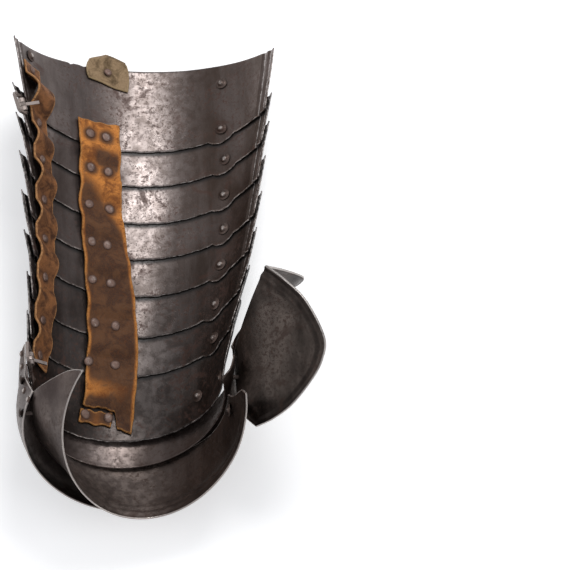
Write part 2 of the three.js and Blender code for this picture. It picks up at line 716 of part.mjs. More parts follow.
// The knee's pivots run across the leg, through every sheet that they join. PIVOT_BAR is the middle
// of the bar that finds and bores those sheets, as a share of the half width.
const PIVOT_BAR = 0.7;

function crossBar(radius, side, { along, back }) {
  const bar = new THREE.CylinderGeometry(radius, radius, HALF_WIDTH, RIVET_SIDES);
  const middle = new THREE.Vector3(side * HALF_WIDTH * PIVOT_BAR, -along, back);
  return toSolid(bar, placed(middle, new THREE.Vector3(-side, 0, 0)));
}

function setPivot(name, sheets, side, place) {
  const probe = crossBar(WASHER, side, place);
  const boxes = sheets.map((sheet) => pieces.get(sheet).solid.intersect(probe).boundingBox());
  const faces = boxes.flatMap(({ min, max }) => [side * min[0], side * max[0]]);
  const near = Math.min(...faces);
  const far = Math.max(...faces);
  sheets.forEach((sheet) => cut(sheet, crossBar(BORE, side, place)));
  const geometry = rivetGeometry({
    head: SLIDE_HEAD,
    rise: RIVET_RISE,
    washer: WASHER,
    outerHead: OUTER_HEAD,
    reach: far - near + 2 * SEAT,
  });
  const head = new THREE.Vector3(side * (near - SEAT - WASHER_THICKNESS), -place.along, place.back);
  addPiece(name, toSolid(geometry, placed(head, new THREE.Vector3(-side, 0, 0))), RIVET_IRON);
}

const UPPER_PIVOT_SHEETS = ['lower_thigh_plate', 'upper_knee_lame', 'knee_cop'];
const LOWER_PIVOT_SHEETS = ['lower_knee_lame', 'knee_cop'];
Object.entries({ inner: -1, outer: 1 }).forEach(([side, sign]) => {
  setPivot(`upper_pivot_${side}`, UPPER_PIVOT_SHEETS, sign, PIVOT);
  setPivot(`lower_pivot_${side}`, LOWER_PIVOT_SHEETS, sign, LOWER_PIVOT);
});

// Buckles at the inner rear edge, drawn in the plane across the bar: x past the rear edge, y inward.
// below is measured from the edge of the plate above. Each has a folded chape on the plate's inner
// face, a frame on the chape and a tongue swung inward.
const BUCKLES = [
  { name: 'upper', plate: 1, below: 9 },
  { name: 'lower', plate: 7, below: 32 },
];
const VALLEY = FLUTES[0] + FLUTE_SPREAD;
const BAR_BEYOND = 3.6;
const LOOP_HOLE = 2.4;
const LOOP_WALL = 1;
const CHAPE_LEG = 8;
const CHAPE_SEAT = 0.7;
const CHAPE_WIDTH = 12;
const TONGUE_WIDTH = 3;
const TONGUE_SLOT = 4;
const TONGUE_THICKNESS = 1.6;
const TONGUE_LENGTH = 17;
const TONGUE_SWING = 132;
const LOOP_SIDES = 9;
const HOLE_SIDES = 8;

function loopShape(legs) {
  const shape = new THREE.Shape(legs.map(([x, y]) => new THREE.Vector2(x, y)));
  const hole = Array.from({ length: HOLE_SIDES }, (_, i) => {
    const a = (-2 * Math.PI * i) / HOLE_SIDES;
    return new THREE.Vector2(LOOP_HOLE * Math.cos(a), LOOP_HOLE * Math.sin(a));
  });
  shape.holes.push(new THREE.Path(hole));
  return shape;
}

function extruded(shape, width) {
  const geometry = new THREE.ExtrudeGeometry(shape, { depth: width, bevelEnabled: false });
  return geometry.translate(0, 0, -width / 2);
}

// A loop round the bar with a straight leg to the left, its two long sides at the heights low and
// high.
function loopWithLeg(length, low, high) {
  const outer = LOOP_HOLE + LOOP_WALL;
  const from = Math.PI - Math.asin(clamp(low / outer, -1, 1));
  const to = Math.PI - Math.asin(clamp(high / outer, -1, 1));
  const round = Array.from({ length: LOOP_SIDES }, (_, i) => {
    const a = lerp(from, to + (to > from ? 0 : 2 * Math.PI), i / (LOOP_SIDES - 1));
    return [outer * Math.cos(a), outer * Math.sin(a)];
  });
  return loopShape([...round, [-length, high], [-length, low]]);
}

BUCKLES.forEach(({ name, plate, below }) => {
  const along = edges[plate - 1] + below;
  const at = (s, u) => thighPoint(s, u, plateOffset(plate, s, u)).point;
  const edge = at(along, -1);
  const bar = at(along - CHAPE_WIDTH / 2, -1).sub(at(along + CHAPE_WIDTH / 2, -1)).normalize();
  const past = edge.clone().sub(at(along, -VALLEY));
  past.addScaledVector(bar, -past.dot(bar)).normalize();
  const inward = new THREE.Vector3().crossVectors(bar, past);
  const middle = edge.clone()
    .addScaledVector(past, BAR_BEYOND)
    .addScaledVector(inward, CHAPE_SEAT + BUCKLE_WIRE);
  const place = new THREE.Matrix4().makeBasis(past, inward, bar).setPosition(middle);

  const half = BUCKLE_WIDTH / 2;
  const wire = 2 * BUCKLE_WIRE;
  const ring = new THREE.Shape([
    [-BUCKLE_WIRE, -half], [BUCKLE_LENGTH - wire, -half], [BUCKLE_LENGTH, wire - half],
    [BUCKLE_LENGTH, half - wire], [BUCKLE_LENGTH - wire, half], [-BUCKLE_WIRE, half],
  ].map(([x, y]) => new THREE.Vector2(x, y)));
  ring.holes.push(new THREE.Path([
    [BUCKLE_WIRE, wire - half], [BUCKLE_WIRE, half - wire],
    [BUCKLE_LENGTH - wire, half - wire], [BUCKLE_LENGTH - wire, wire - half],
  ].map(([x, y]) => new THREE.Vector2(x, y))));
  const flat = new THREE.Matrix4().makeRotationX(Math.PI / 2);
  addPiece(`${name}_buckle_frame`, toSolid(extruded(ring, wire), place.clone().multiply(flat)), RIVET_IRON);

  const leg = loopWithLeg(BAR_BEYOND + CHAPE_LEG, -BUCKLE_WIRE, -BUCKLE_WIRE + LOOP_WALL);
  const slot = new THREE.BoxGeometry(3 * LOOP_HOLE + LOOP_WALL, 4 * LOOP_HOLE, TONGUE_SLOT);
  const chape = toSolid(extruded(leg, CHAPE_WIDTH), place).subtract(toSolid(slot, place));
  addPiece(`${name}_buckle_chape`, chape, STEEL);

  const tongue = loopWithLeg(TONGUE_LENGTH, -TONGUE_THICKNESS / 2, TONGUE_THICKNESS / 2);
  const swing = new THREE.Matrix4().makeRotationZ(rad(TONGUE_SWING - 180));
  const turned = place.clone().multiply(swing);
  addPiece(`${name}_buckle_tongue`, toSolid(extruded(tongue, TONGUE_WIDTH), turned), RIVET_IRON);
});

// Everything lies in the design frame inside one group, which is turned to how the piece rests and
// moved so that the middle of its underside is the origin.
const leg = new THREE.Group();
pieces.forEach(({ solid, material }, name) => {
  const mesh = new THREE.Mesh(toGeometry(solid), material);
  mesh.name = name;
  leg.add(mesh);
});
leg.rotation.set(rad(REST_PITCH), rad(REST_ROLL), 0);

const group = new THREE.Group();
group.add(leg);
group.updateMatrixWorld(true);
const box = new THREE.Box3().setFromObject(group, true);
leg.position.set(-(box.min.x + box.max.x) / 2, -(box.min.y + box.max.y) / 2, -box.min.z);
group.updateMatrixWorld(true);

export default group;
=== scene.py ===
"""A steel cuisse with its winged knee cop, lying on its convex front, seen into its open back.

The plates, the leathers and the rivets are worked out in the frame that the piece is drawn in, in
millimetres: X to the outer side of the leg, Y to the hip, Z to the open back. to_rest carries them
to how the piece lies. u runs from -1 at the inner rear edge by 0 at the keel to 1 at the outer one,
and s counts millimetres down the keel from the top edge.
"""
import math

import bpy
import numpy as np
from mathutils import Matrix, Vector


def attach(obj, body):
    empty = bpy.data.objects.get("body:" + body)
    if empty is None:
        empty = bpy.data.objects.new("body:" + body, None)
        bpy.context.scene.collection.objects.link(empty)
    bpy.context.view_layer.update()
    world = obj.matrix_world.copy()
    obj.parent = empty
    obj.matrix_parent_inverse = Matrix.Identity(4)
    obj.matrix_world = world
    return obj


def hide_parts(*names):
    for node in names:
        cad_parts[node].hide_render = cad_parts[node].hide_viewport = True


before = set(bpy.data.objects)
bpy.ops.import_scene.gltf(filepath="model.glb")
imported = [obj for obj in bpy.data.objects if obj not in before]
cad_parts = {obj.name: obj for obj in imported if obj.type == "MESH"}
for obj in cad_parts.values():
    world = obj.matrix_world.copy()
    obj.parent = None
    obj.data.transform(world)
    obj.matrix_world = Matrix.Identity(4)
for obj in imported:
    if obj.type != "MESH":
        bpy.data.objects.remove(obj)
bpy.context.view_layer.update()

# Driving sizes, in millimetres
KEEL_LENGTH, HALF_WIDTH, HOLLOW_DEPTH = 471.0, 131.0, 114.0
SHEET, LAP_GAP = 1.3, 0.5
LAP = SHEET + LAP_GAP
LAP_KEEL, LAP_REAR = 13.0, 24.0
FLUTES, FLUTE_SPREAD, FLUTE_HEIGHT = (0.91, 0.97), 0.03, 1.3
LOBE_HEIGHT, LOBE_WIDTH = 5.0, 0.1
SPLAY_INNER, SPLAY_OUTER, SPLAY_FROM = 8.0, 3.0, 0.6
SEAT, HEAD_SEAT, SCRAP_SEAT = 0.3, 0.75, 1.1
STRAP_WIDTH, STRAP_THICKNESS, STRAP_BULGE = 43.0, 2.2, 3.0
SIDE_WIDTH, SIDE_THICKNESS, SIDE_BULGE, SIDE_MIDDLE = 29.0, 2.0, 6.0, -0.84
TAB_WIDTH, TAB_THICKNESS, TAB_RISE, TAB_OUT, TAB_MIDDLE = 40.0, 2.0, 17.0, 2.2, -0.18
SCRAP_THICKNESS, SCRAP_HEIGHT = 1.8, 13.0
WASHER, WASHER_THICKNESS, SHANK = 6.0, 0.8, 2.0

# How the piece lies: the drawing's axes turned about the keel, then tipped, and the place of its origin
REST_ROLL, REST_PITCH = math.radians(9.2), math.radians(-1.44)
REST_ORIGIN = np.array([-31.4385, 226.4084, 1.2797])

# Shares of the driving sizes: along, rise, tilt, half, deep, sweep inside, sweep outside, aside, roll
THIGH = [
    (0.000, 0.061, -9, 1.000, 1.000, 72, 72, 0.050, 3),
    (0.195, 0.044, 12, 0.920, 0.952, 72, 72, 0.053, 2),
    (0.276, 0.044, 17, 0.890, 0.912, 71, 71, 0.057, 1),
    (0.361, 0.035, 20, 0.863, 0.864, 71, 71, 0.053, 0),
    (0.442, 0.035, 20, 0.836, 0.825, 71, 71, 0.038, -1),
    (0.524, 0.026, 21, 0.786, 0.778, 74, 74, 0.023, -2),
    (0.614, 0.026, 21, 0.740, 0.750, 77, 77, -0.008, -4),
    (0.696, 0.018, 20, 0.695, 0.719, 82, 82, -0.046, -5),
    (0.785, -0.008, 21, 0.660, 0.711, 90, 90, -0.080, -5),
    (0.830, 0.020, 21, 0.641, 0.706, 97, 92, -0.099, -4),
]
UPPER_LAME = [
    (0.798, -0.044, 17, 0.703, 0.736, 99, 97, -0.064, -4.5),
    (0.841, -0.026, 24, 0.688, 0.726, 101, 100, -0.073, -4.5),
    (0.883, 0.018, 35, 0.653, 0.702, 102, 103, -0.090, -4),
]
LOWER_LAME = [
    (0.866, -0.054, 17, 0.6705, 0.722, 98, 95, -0.1165, -1),
    (0.909, 0.016, 26, 0.666, 0.764, 107, 102, -0.133, 3),
    (0.955, 0.138, 34, 0.6385, 0.825, 114, 112, -0.1195, 7),
    (1.000, 0.289, 40.5, 0.595, 0.877, 114, 114, -0.122, 10),
]
KNEE_COP = [
    (0.849, -0.086, 44, 0.736, 0.785, 109, 100, -0.084, -3),
    (0.894, -0.095, 46, 0.745, 0.775, 111, 103, -0.094, -2),
    (0.938, -0.018, 48, 0.755, 0.755, 112, 106, -0.121, 0),
    (0.979, 0.172, 50, 0.725, 0.715, 112, 106, -0.135, 2),
]

# Lower edge of each thigh plate as a share of the keel, and the u of its sliding rivet
PLATES = [
    ("top_plate", 0.195, 0.57), ("thigh_lame_1", 0.276, 0.61), ("thigh_lame_2", 0.361, 0.615),
    ("thigh_lame_3", 0.442, 0.635), ("thigh_lame_4", 0.524, 0.63), ("thigh_lame_5", 0.614, 0.62),
    ("thigh_lame_6", 0.696, 0.66), ("lower_thigh_plate", 0.830, None),
]
SPLAY_SHARE = (0, 1, 1, 1, 0.9, 0.7, 0.45, 0.2)
EDGES = [edge * KEEL_LENGTH for _, edge, _ in PLATES]
FLUTES_END, FLUTES_FADE = 0.785 * KEEL_LENGTH, EDGES[-2]

# The wing's outline: out, along and back, as shares of its sizes, from its own corner of the cop
WING_OUT, WING_REACH, WING_BACK, WING_CURL = 72.0, 105.0, 75.0, 1.5
WING_CORNER = (79.6, -361.9, 77.95)
WING_CREASE = 3
WING = [
    (0.93, 1.00, -0.22), (0.93, 0.98, 0.05), (0.62, 0.92, 0.45), (0.31, 0.85, 0.80),
    (0.50, 0.70, 0.90), (0.74, 0.48, 0.97), (0.93, 0.16, 0.96), (0.90, -0.02, 0.87),
    (0.78, -0.16, 0.72), (0.56, -0.32, 0.52), (0.35, -0.40, 0.34), (0.17, -0.43, 0.19),
]

# Middle strap at each plate's rivets: its middle, its width and the u of the two rivets
STRAP = [
    (-0.270, 1.00, -0.335, -0.220), (-0.290, 1.00, -0.355, -0.225), (-0.305, 1.02, -0.385, -0.230),
    (-0.275, 1.05, -0.370, -0.250), (-0.240, 1.10, -0.365, -0.220), (-0.200, 1.12, -0.330, -0.170),
    (-0.170, 1.14, -0.350, -0.145), (-0.165, 1.15, -0.325, -0.155),
]
STRAP_RIVETS_S = [edge - 11 for edge in EDGES[:-1]] + [EDGES[-1] - 23]
SIDE_RIVETS_S = [38.0] + [edge + 13 for edge in EDGES[:-2]] + [EDGES[-2] + 10]
SIDE_FOLDS = (2.0, 0.9, 1.1, 0.9, 0.8, 0.6, 0.7)
FLAT = 0.16


def sized(rows):
    """Shares turned into millimetres and radians, one column for each quantity."""
    scale = np.array([KEEL_LENGTH, HOLLOW_DEPTH, np.pi / 180, HALF_WIDTH, HOLLOW_DEPTH,
                      np.pi / 180, np.pi / 180, HALF_WIDTH, np.pi / 180])
    return np.array(rows, float) * scale


THIGH_ROWS = sized(THIGH)


def station_at(s):
    """Station at s by straight interpolation between rows, carried on past either end."""
    keys = THIGH_ROWS[:, 0]
    i = np.clip(np.searchsorted(keys, s) - 1, 0, len(keys) - 2)
    f = (s - keys[i]) / (keys[i + 1] - keys[i])
    return THIGH_ROWS[i] + (THIGH_ROWS[i + 1] - THIGH_ROWS[i]) * f[..., None]


def through(rows, share):
    """Smooth curve through the rows: cubic between two rows, with slopes from their neighbours."""
    rows = np.asarray(rows, float)
    place = np.asarray(share, float) * (len(rows) - 1)
    i = np.clip(np.floor(place).astype(int), 0, len(rows) - 2)
    f = (place - i)[..., None]
    a, b, c, d = (rows[np.clip(i + k, 0, len(rows) - 1)] for k in (-1, 0, 1, 2))
    pull, onward = (c - a) / 2, (d - b) / 2
    cubic = 2 * b - 2 * c + pull + onward
    square = 3 * c - 3 * b - 2 * pull - onward
    return cubic * f**3 + square * f**2 + pull * f + b


def oval(row, u):
    """Point of a station's oval: its half width by sin a and its depth by 1 - cos a, where a is u by the
    sweep, rolled about the keel, leant by the tilt and set at the station's place."""
    s, rise, tilt, half, deep, inner, outer, aside, roll = np.moveaxis(row, -1, 0)
    a = u * np.where(u < 0, inner, outer)
    side, depth = half * np.sin(a), deep * (1 - np.cos(a))
    x = side * np.cos(roll) + depth * np.sin(roll) + aside
    d = depth * np.cos(roll) - side * np.sin(roll)
    return np.stack([x, d * np.sin(tilt) - s, rise + d * np.cos(tilt)], -1)


def unit(v):
    return v / np.maximum(np.linalg.norm(v, axis=-1, keepdims=True), 1e-9)


def thigh_point(s, u, off=0.0):
    """Thigh surface at (s, u), moved outward by off, with the outward normal and the way down the leg."""
    s, u = np.broadcast_arrays(np.asarray(s, float), np.asarray(u, float))
    row = station_at(s)
    around = oval(row, u + 0.01) - oval(row, u - 0.01)
    down = oval(station_at(s + 1), u) - oval(station_at(s - 1), u)
    normal = unit(np.cross(around, down))
    return oval(row, u) + normal * np.asarray(off)[..., None], normal, unit(down)


def span_of(s, u, width):
    """How much of u a width in millimetres takes up at (s, u)."""
    row = station_at(np.asarray(s, float))
    return width * 0.01 / np.linalg.norm(oval(row, u + 0.01) - oval(row, u - 0.01), axis=-1)


def dents(s, u):
    """Slow unevenness of hammered sheet: a few long waves added up, about a quarter millimetre deep."""
    waves = ((0.031, 5.1, 0.4), (0.052, -8.3, 2.1), (0.083, 13.7, 4.0), (0.019, 21.0, 1.2))
    return 0.11 * sum(np.sin(a * s + b * u + c) for a, b, c in waves)


# Thigh plates
def stand_off(i, s):
    """How far plate i lies outside the thigh's surface: nothing at its own lower edge, one lap at the edge
    of the plate above, and one lap more than that plate further up."""
    upper = EDGES[i - 1] if i else 0.0
    own = LAP * (EDGES[i] - s) / (EDGES[i] - upper)
    return np.where(s < upper, LAP + stand_off(i - 1, s), own) if i else own


def upper_edge(i, u):
    return 0 * u if i == 0 else EDGES[i - 1] - (LAP_KEEL + (LAP_REAR - LAP_KEEL) * u * u)


def flute(u):
    """Two narrow ridges along each rear edge, each a rounded tent across u."""
    rises = [np.clip(1 - np.abs(np.abs(u) - middle) / FLUTE_SPREAD, 0, 1) for middle in FLUTES]
    tent = np.maximum(*rises)
    return FLUTE_HEIGHT * tent * (1.25 - 0.25 * tent)


def splay(i, s, u):
    """The upper part of a lame stands away from the plate above it, more and more to its rear edges."""
    reach = np.clip((np.abs(u) - SPLAY_FROM) / (1 - SPLAY_FROM), 0, 1)
    up = np.maximum(0, (EDGES[i] - s) / (EDGES[i] - upper_edge(i, u)))
    return SPLAY_SHARE[i] * np.where(u < 0, SPLAY_INNER, SPLAY_OUTER) * reach**2 * up


def plate_offset(i, s, u):
    fade = np.clip((FLUTES_END - s) / (FLUTES_END - FLUTES_FADE), 0, 1)
    return stand_off(i, s) + splay(i, s, u) + flute(u) * fade


def to_rest(points):
    """Drawing millimetres to metres as the piece lies: turned by the roll about Y, then by the pitch
    about X, and moved to its origin."""
    cr, sr, cp, sp = math.cos(REST_ROLL), math.sin(REST_ROLL), math.cos(REST_PITCH), math.sin(REST_PITCH)
    roll = np.array([[cr, 0, sr], [0, 1, 0], [-sr, 0, cr]])
    pitch = np.array([[1, 0, 0], [0, cp, -sp], [0, sp, cp]])
    return (np.asarray(points) @ (pitch @ roll).T + REST_ORIGIN) / 1000


def from_rest(points):
    """The way back of to_rest."""
    axes = (to_rest(np.eye(3)) - to_rest(np.zeros((1, 3)))) * 1000
    return (np.asarray(points) * 1000 - REST_ORIGIN) @ axes.T


# Meshes
def new_object(name, vertices, faces, values, material):
    """Mesh from whole arrays of points, four-cornered faces and one number per point for each value."""
    mesh = bpy.data.meshes.new(name)
    mesh.vertices.add(len(vertices))
    mesh.vertices.foreach_set("co", to_rest(vertices).astype(np.float32).ravel())
    mesh.loops.add(faces.size)
    mesh.loops.foreach_set("vertex_index", faces.astype(np.int32).ravel())
    mesh.polygons.add(len(faces))
    mesh.polygons.foreach_set("loop_start", np.arange(0, faces.size, 4, dtype=np.int32))
    mesh.polygons.foreach_set("use_smooth", np.ones(len(faces), bool))
    mesh.update(calc_edges=True)
    for key, numbers in values.items():
        layer = mesh.attributes.new(key, "FLOAT", "POINT")
        layer.data.foreach_set("value", np.asarray(numbers, np.float32).ravel())
    mesh.validate()
    mesh.materials.append(material)
    thing = bpy.data.objects.new(name, mesh)
    bpy.context.scene.collection.objects.link(thing)
    return thing


def grid_normals(grid):
    """Outward direction at each point of a grid: the way round crossed with the way down."""
    padded = np.concatenate([2 * grid[:, :1] - grid[:, 1:2], grid, 2 * grid[:, -1:] - grid[:, -2:-1]], 1)
    around = padded[:, 2:] - padded[:, :-2]
    padded = np.concatenate([2 * grid[:1] - grid[1:2], grid, 2 * grid[-1:] - grid[-2:-1]], 0)
    down = padded[2:] - padded[:-2]
    return unit(np.cross(around, down))


def border_distance(grid):
    """Millimetres from each point to the nearest border, along its row and its column."""
    def cumulative(axis):
        steps = np.linalg.norm(np.diff(grid, axis=axis), axis=-1)
        start = np.concatenate([np.zeros_like(np.take(steps, [0], axis)), np.cumsum(steps, axis)], axis)
        return start, np.take(start, [-1], axis) - start
    top, bottom = cumulative(0)
    left, right = cumulative(1)
    return top, bottom, left, right


def walled(name, grid, thickness, material, values=None, bead=None, inner_relief=None):
    """Closed wall from a grid of inner points. The outer face lies one thickness outward, and a rounded
    rim, half a thickness past the border, joins the two faces. bead thickens both faces near a border."""
    rows, cols = grid.shape[:2]
    normal = grid_normals(grid)
    top, bottom, left, right = border_distance(grid)
    near = np.minimum(np.minimum(top, bottom), np.minimum(left, right))
    swell = 0 if bead is None else bead(top, bottom, left, right)
    relief = 0 if inner_relief is None else inner_relief
    swell = np.broadcast_to(swell, near.shape)[..., None]
    relief = np.broadcast_to(relief, near.shape)[..., None]
    inner = grid - normal * (swell + relief)
    outer = grid + normal * (thickness + swell)
    loop = np.concatenate([
        np.arange(cols), np.arange(1, rows) * cols + cols - 1,
        (rows - 1) * cols + np.arange(cols - 2, -1, -1), np.arange(rows - 2, 0, -1) * cols,
    ])
    flat_in, flat_out = inner.reshape(-1, 3), outer.reshape(-1, 3)
    i, j = np.divmod(loop, cols)
    inside = np.clip(i, 1, rows - 2) * cols + np.clip(j, 1, cols - 2)
    middle = (flat_in[loop] + flat_out[loop]) / 2
    centre = (flat_in[inside] + flat_out[inside]) / 2
    rim = middle + unit(middle - centre) * np.linalg.norm(flat_out[loop] - middle, axis=-1)[:, None] * 0.8
    n = rows * cols
    a = (np.arange(rows - 1)[:, None] * cols + np.arange(cols - 1)).ravel()
    face_in = np.stack([a, a + cols, a + cols + 1, a + 1], 1)
    face_out = np.stack([a, a + 1, a + cols + 1, a + cols], 1) + n
    ring = 2 * n + np.arange(len(loop))
    turn = np.roll(np.arange(len(loop)), -1)
    rim_in = np.stack([loop, loop[turn], ring[turn], ring], 1)
    rim_out = np.stack([ring, ring[turn], loop[turn] + n, loop + n], 1)
    vertices = np.concatenate([flat_in, flat_out, rim])
    faces = np.concatenate([face_in, face_out, rim_in, rim_out])
    def spread(numbers, at_rim=None):
        flat = np.broadcast_to(numbers, near.shape).ravel()
        return np.concatenate([flat, flat, flat[loop] if at_rim is None else np.full(len(loop), at_rim)])
    given = {"border": spread(near, 0.0), "inside": np.r_[np.ones(n), np.zeros(n), np.full(len(loop), 0.5)]}
    for key, numbers in (values or {}).items():
        given[key] = spread(numbers)
    return new_object(name, vertices, faces, given, material)


def finish_piece(thing, body, slot, *nodes):
    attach(thing, body)
    if nodes:
        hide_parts(*nodes)
    return thing


# Shader helpers
def new_group(name, inputs, outputs):
    group = bpy.data.node_groups.new(name, "ShaderNodeTree")
    for label, kind, value in inputs:
        socket = group.interface.new_socket(label, in_out="INPUT", socket_type=f"NodeSocket{kind}")
        socket.default_value = value
    for label, kind in outputs:
        group.interface.new_socket(label, in_out="OUTPUT", socket_type=f"NodeSocket{kind}")
    return group, group.nodes.new("NodeGroupInput"), group.nodes.new("NodeGroupOutput")


class Tree:
    """Short names for making and joining the nodes of one tree."""

    def __init__(self, tree):
        self.tree = tree

    def node(self, kind, **settings):
        made = self.tree.nodes.new(f"ShaderNode{kind}")
        for key, value in settings.items():
            setattr(made, key, value)
        return made

    def put(self, source, target):
        if hasattr(source, "is_linked"):
            self.tree.links.new(source, target)
        else:
            target.default_value = source

    def math(self, operation, a, b=0.0, clamp=False):
        made = self.node("Math", operation=operation, use_clamp=clamp)
        self.put(a, made.inputs[0])
        self.put(b, made.inputs[1])
        return made.outputs[0]

    def between(self, value, low, high, start=0.0, end=1.0):
        """Value carried from the stretch low..high to start..end, with smooth ends, and held there."""
        made = self.node("MapRange", interpolation_type="SMOOTHSTEP")
        for socket, number in zip(("Value", "From Min", "From Max", "To Min", "To Max"),
                                  (value, low, high, start, end)):
            self.put(number, made.inputs[socket])
        return made.outputs[0]

    def mix(self, share, a, b):
        made = self.node("Mix", data_type="RGBA")
        self.put(share, made.inputs[0])
        self.put(a, made.inputs[6])
        self.put(b, made.inputs[7])
        return made.outputs[2]

    def noise(self, where, scale, detail, rough, distortion=0.0):
        made = self.node("TexNoise")
        self.put(where, made.inputs["Vector"])
        made.inputs["Scale"].default_value = scale
        made.inputs["Detail"].default_value = detail
        made.inputs["Roughness"].default_value = rough
        made.inputs["Distortion"].default_value = distortion
        return made.outputs[0]

    def spread(self, where, x, y, z):
        """Coordinates stretched by a factor along each axis."""
        made = self.node("Mapping")
        self.put(where, made.inputs["Vector"])
        made.inputs["Scale"].default_value = (x, y, z)
        return made.outputs[0]

    def place(self):
        return self.node("TexCoord").outputs["Object"]

    def value(self, name):
        return self.node("Attribute", attribute_name=name).outputs["Fac"]

    def use(self, group, **values):
        made = self.node("Group")
        made.node_tree = group
        for key, value in values.items():
            self.put(value, made.inputs[key.replace("_", " ").capitalize()])
        return made.outputs


def colour(hexa):
    """Linear colour from the usual six-digit form."""
    parts = [int(hexa[k:k + 2], 16) / 255 for k in (0, 2, 4)]
    return tuple(p / 12.92 if p < 0.04045 else ((p + 0.055) / 1.055) ** 2.4 for p in parts) + (1.0,)


def new_material(name):
    material = bpy.data.materials.new(name)
    material.use_nodes = True
    return material, Tree(material.node_tree), material.node_tree.nodes["Principled BSDF"]


def bumped(tree, shader, height, strength, distance):
    bump = tree.node("Bump")
    tree.put(height, bump.inputs["Height"])
    bump.inputs["Strength"].default_value = strength
    bump.inputs["Distance"].default_value = distance
    tree.put(bump.outputs[0], shader.inputs["Normal"])


# Old steel: patina, rust, pits, worn edges, painted sheen and painted shade
def old_steel_group():
    """Dark patina with slow clouds, rust in flecks and patches, pits, bright metal where worn and where a
    painted sheen is given, and near-black painted shade with some dirt where that is given.
    """
    group, given, result = new_group("old_steel", [
        ("Place", "Vector", (0, 0, 0)), ("Patina", "Color", (0.1, 0.1, 0.1, 1)),
        ("Bare", "Color", (0.4, 0.4, 0.4, 1)), ("Rust", "Color", (0.1, 0.03, 0.01, 1)),
        ("Rust amount", "Float", 0.5), ("Wear", "Float", 0.0), ("Grime", "Float", 0.0),
        ("Clean", "Float", 0.0),
    ], [("Color", "Color"), ("Roughness", "Float"), ("Metallic", "Float"), ("Height", "Float")])
    t = Tree(group)
    place = given.outputs["Place"]
    clouds = t.noise(place, 18, 6, 0.62, 0.4)
    streaks = t.noise(t.spread(place, 90, 9, 60), 1, 4, 0.55, 0.3)
    fine = t.noise(place, 260, 5, 0.65)
    grain = t.noise(place, 900, 3, 0.6)
    mottled = t.math("ADD", t.math("MULTIPLY", clouds, 0.6), t.math("MULTIPLY", streaks, 0.4))
    shade = t.between(mottled, 0.36, 0.66)
    blotches = t.between(t.noise(place, 120, 5, 0.6, 0.2), 0.36, 0.64, 0.40, 1.0)
    # Bare steel where rubbed, and where the painted sheen along the keel is given
    rubbed = t.math("MULTIPLY", given.outputs["Clean"], t.math("MULTIPLY", blotches, t.between(
        mottled, 0.30, 0.60, 0.6, 1.1)))
    share = t.math("MAXIMUM", t.math("MULTIPLY", shade, 0.30), rubbed)
    base = t.mix(share, given.outputs["Patina"], given.outputs["Bare"])
    flecks = t.math("MULTIPLY", t.between(fine, 0.50, 0.66), t.between(clouds, 0.40, 0.60))
    patches = t.between(t.noise(place, 34, 7, 0.7, 0.8), 0.54, 0.66)
    rust = t.math("MULTIPLY", t.math("MAXIMUM", flecks, t.math("MULTIPLY", patches, 0.8)),
                  given.outputs["Rust amount"], True)
    base = t.mix(rust, base, given.outputs["Rust"])
    pits = t.between(t.noise(place, 380, 5, 0.72), 0.56, 0.67)
    pitting = t.math("ADD", 0.20, t.math("MULTIPLY", given.outputs["Clean"], 0.5), True)
    base = t.mix(t.math("MULTIPLY", pits, pitting), base, (0.045, 0.026, 0.022, 1))
    # Painted shade with some dirt: near black under the laps and at the rivets' feet
    base = t.mix(t.math("MULTIPLY", given.outputs["Grime"], 0.95, True), base, (0.008, 0.006, 0.005, 1))
    broken = t.between(t.math("ADD", given.outputs["Wear"], t.math("MULTIPLY", t.math(
        "SUBTRACT", fine, 0.5), 0.9)), 0.30, 0.62)
    base = t.mix(broken, base, t.mix(0.5, given.outputs["Bare"], (0.62, 0.58, 0.55, 1)))
    t.put(base, result.inputs["Color"])
    rough = t.between(clouds, 0.3, 0.7, 0.44, 0.30)
    rough = t.math("ADD", rough, t.math("MULTIPLY", rust, 0.34))
    rough = t.math("SUBTRACT", rough, t.math("MULTIPLY", broken, 0.08))
    t.put(rough, result.inputs["Roughness"])
    metal = t.math("SUBTRACT", 0.86, t.math("MULTIPLY", rust, 0.55))
    metal = t.math("SUBTRACT", metal, t.math("MULTIPLY", given.outputs["Grime"], 0.6), True)
    t.put(metal, result.inputs["Metallic"])
    height = t.math("ADD", t.math("MULTIPLY", clouds, 0.9), t.math("MULTIPLY", fine, 0.22))
    height = t.math("ADD", height, t.math("MULTIPLY", grain, 0.05))
    height = t.math("SUBTRACT", height, t.math("MULTIPLY", pits, 0.16))
    height = t.math("ADD", height, t.math("MULTIPLY", rust, 0.10))
    t.put(height, result.inputs["Height"])
    return group


OLD_STEEL = old_steel_group()


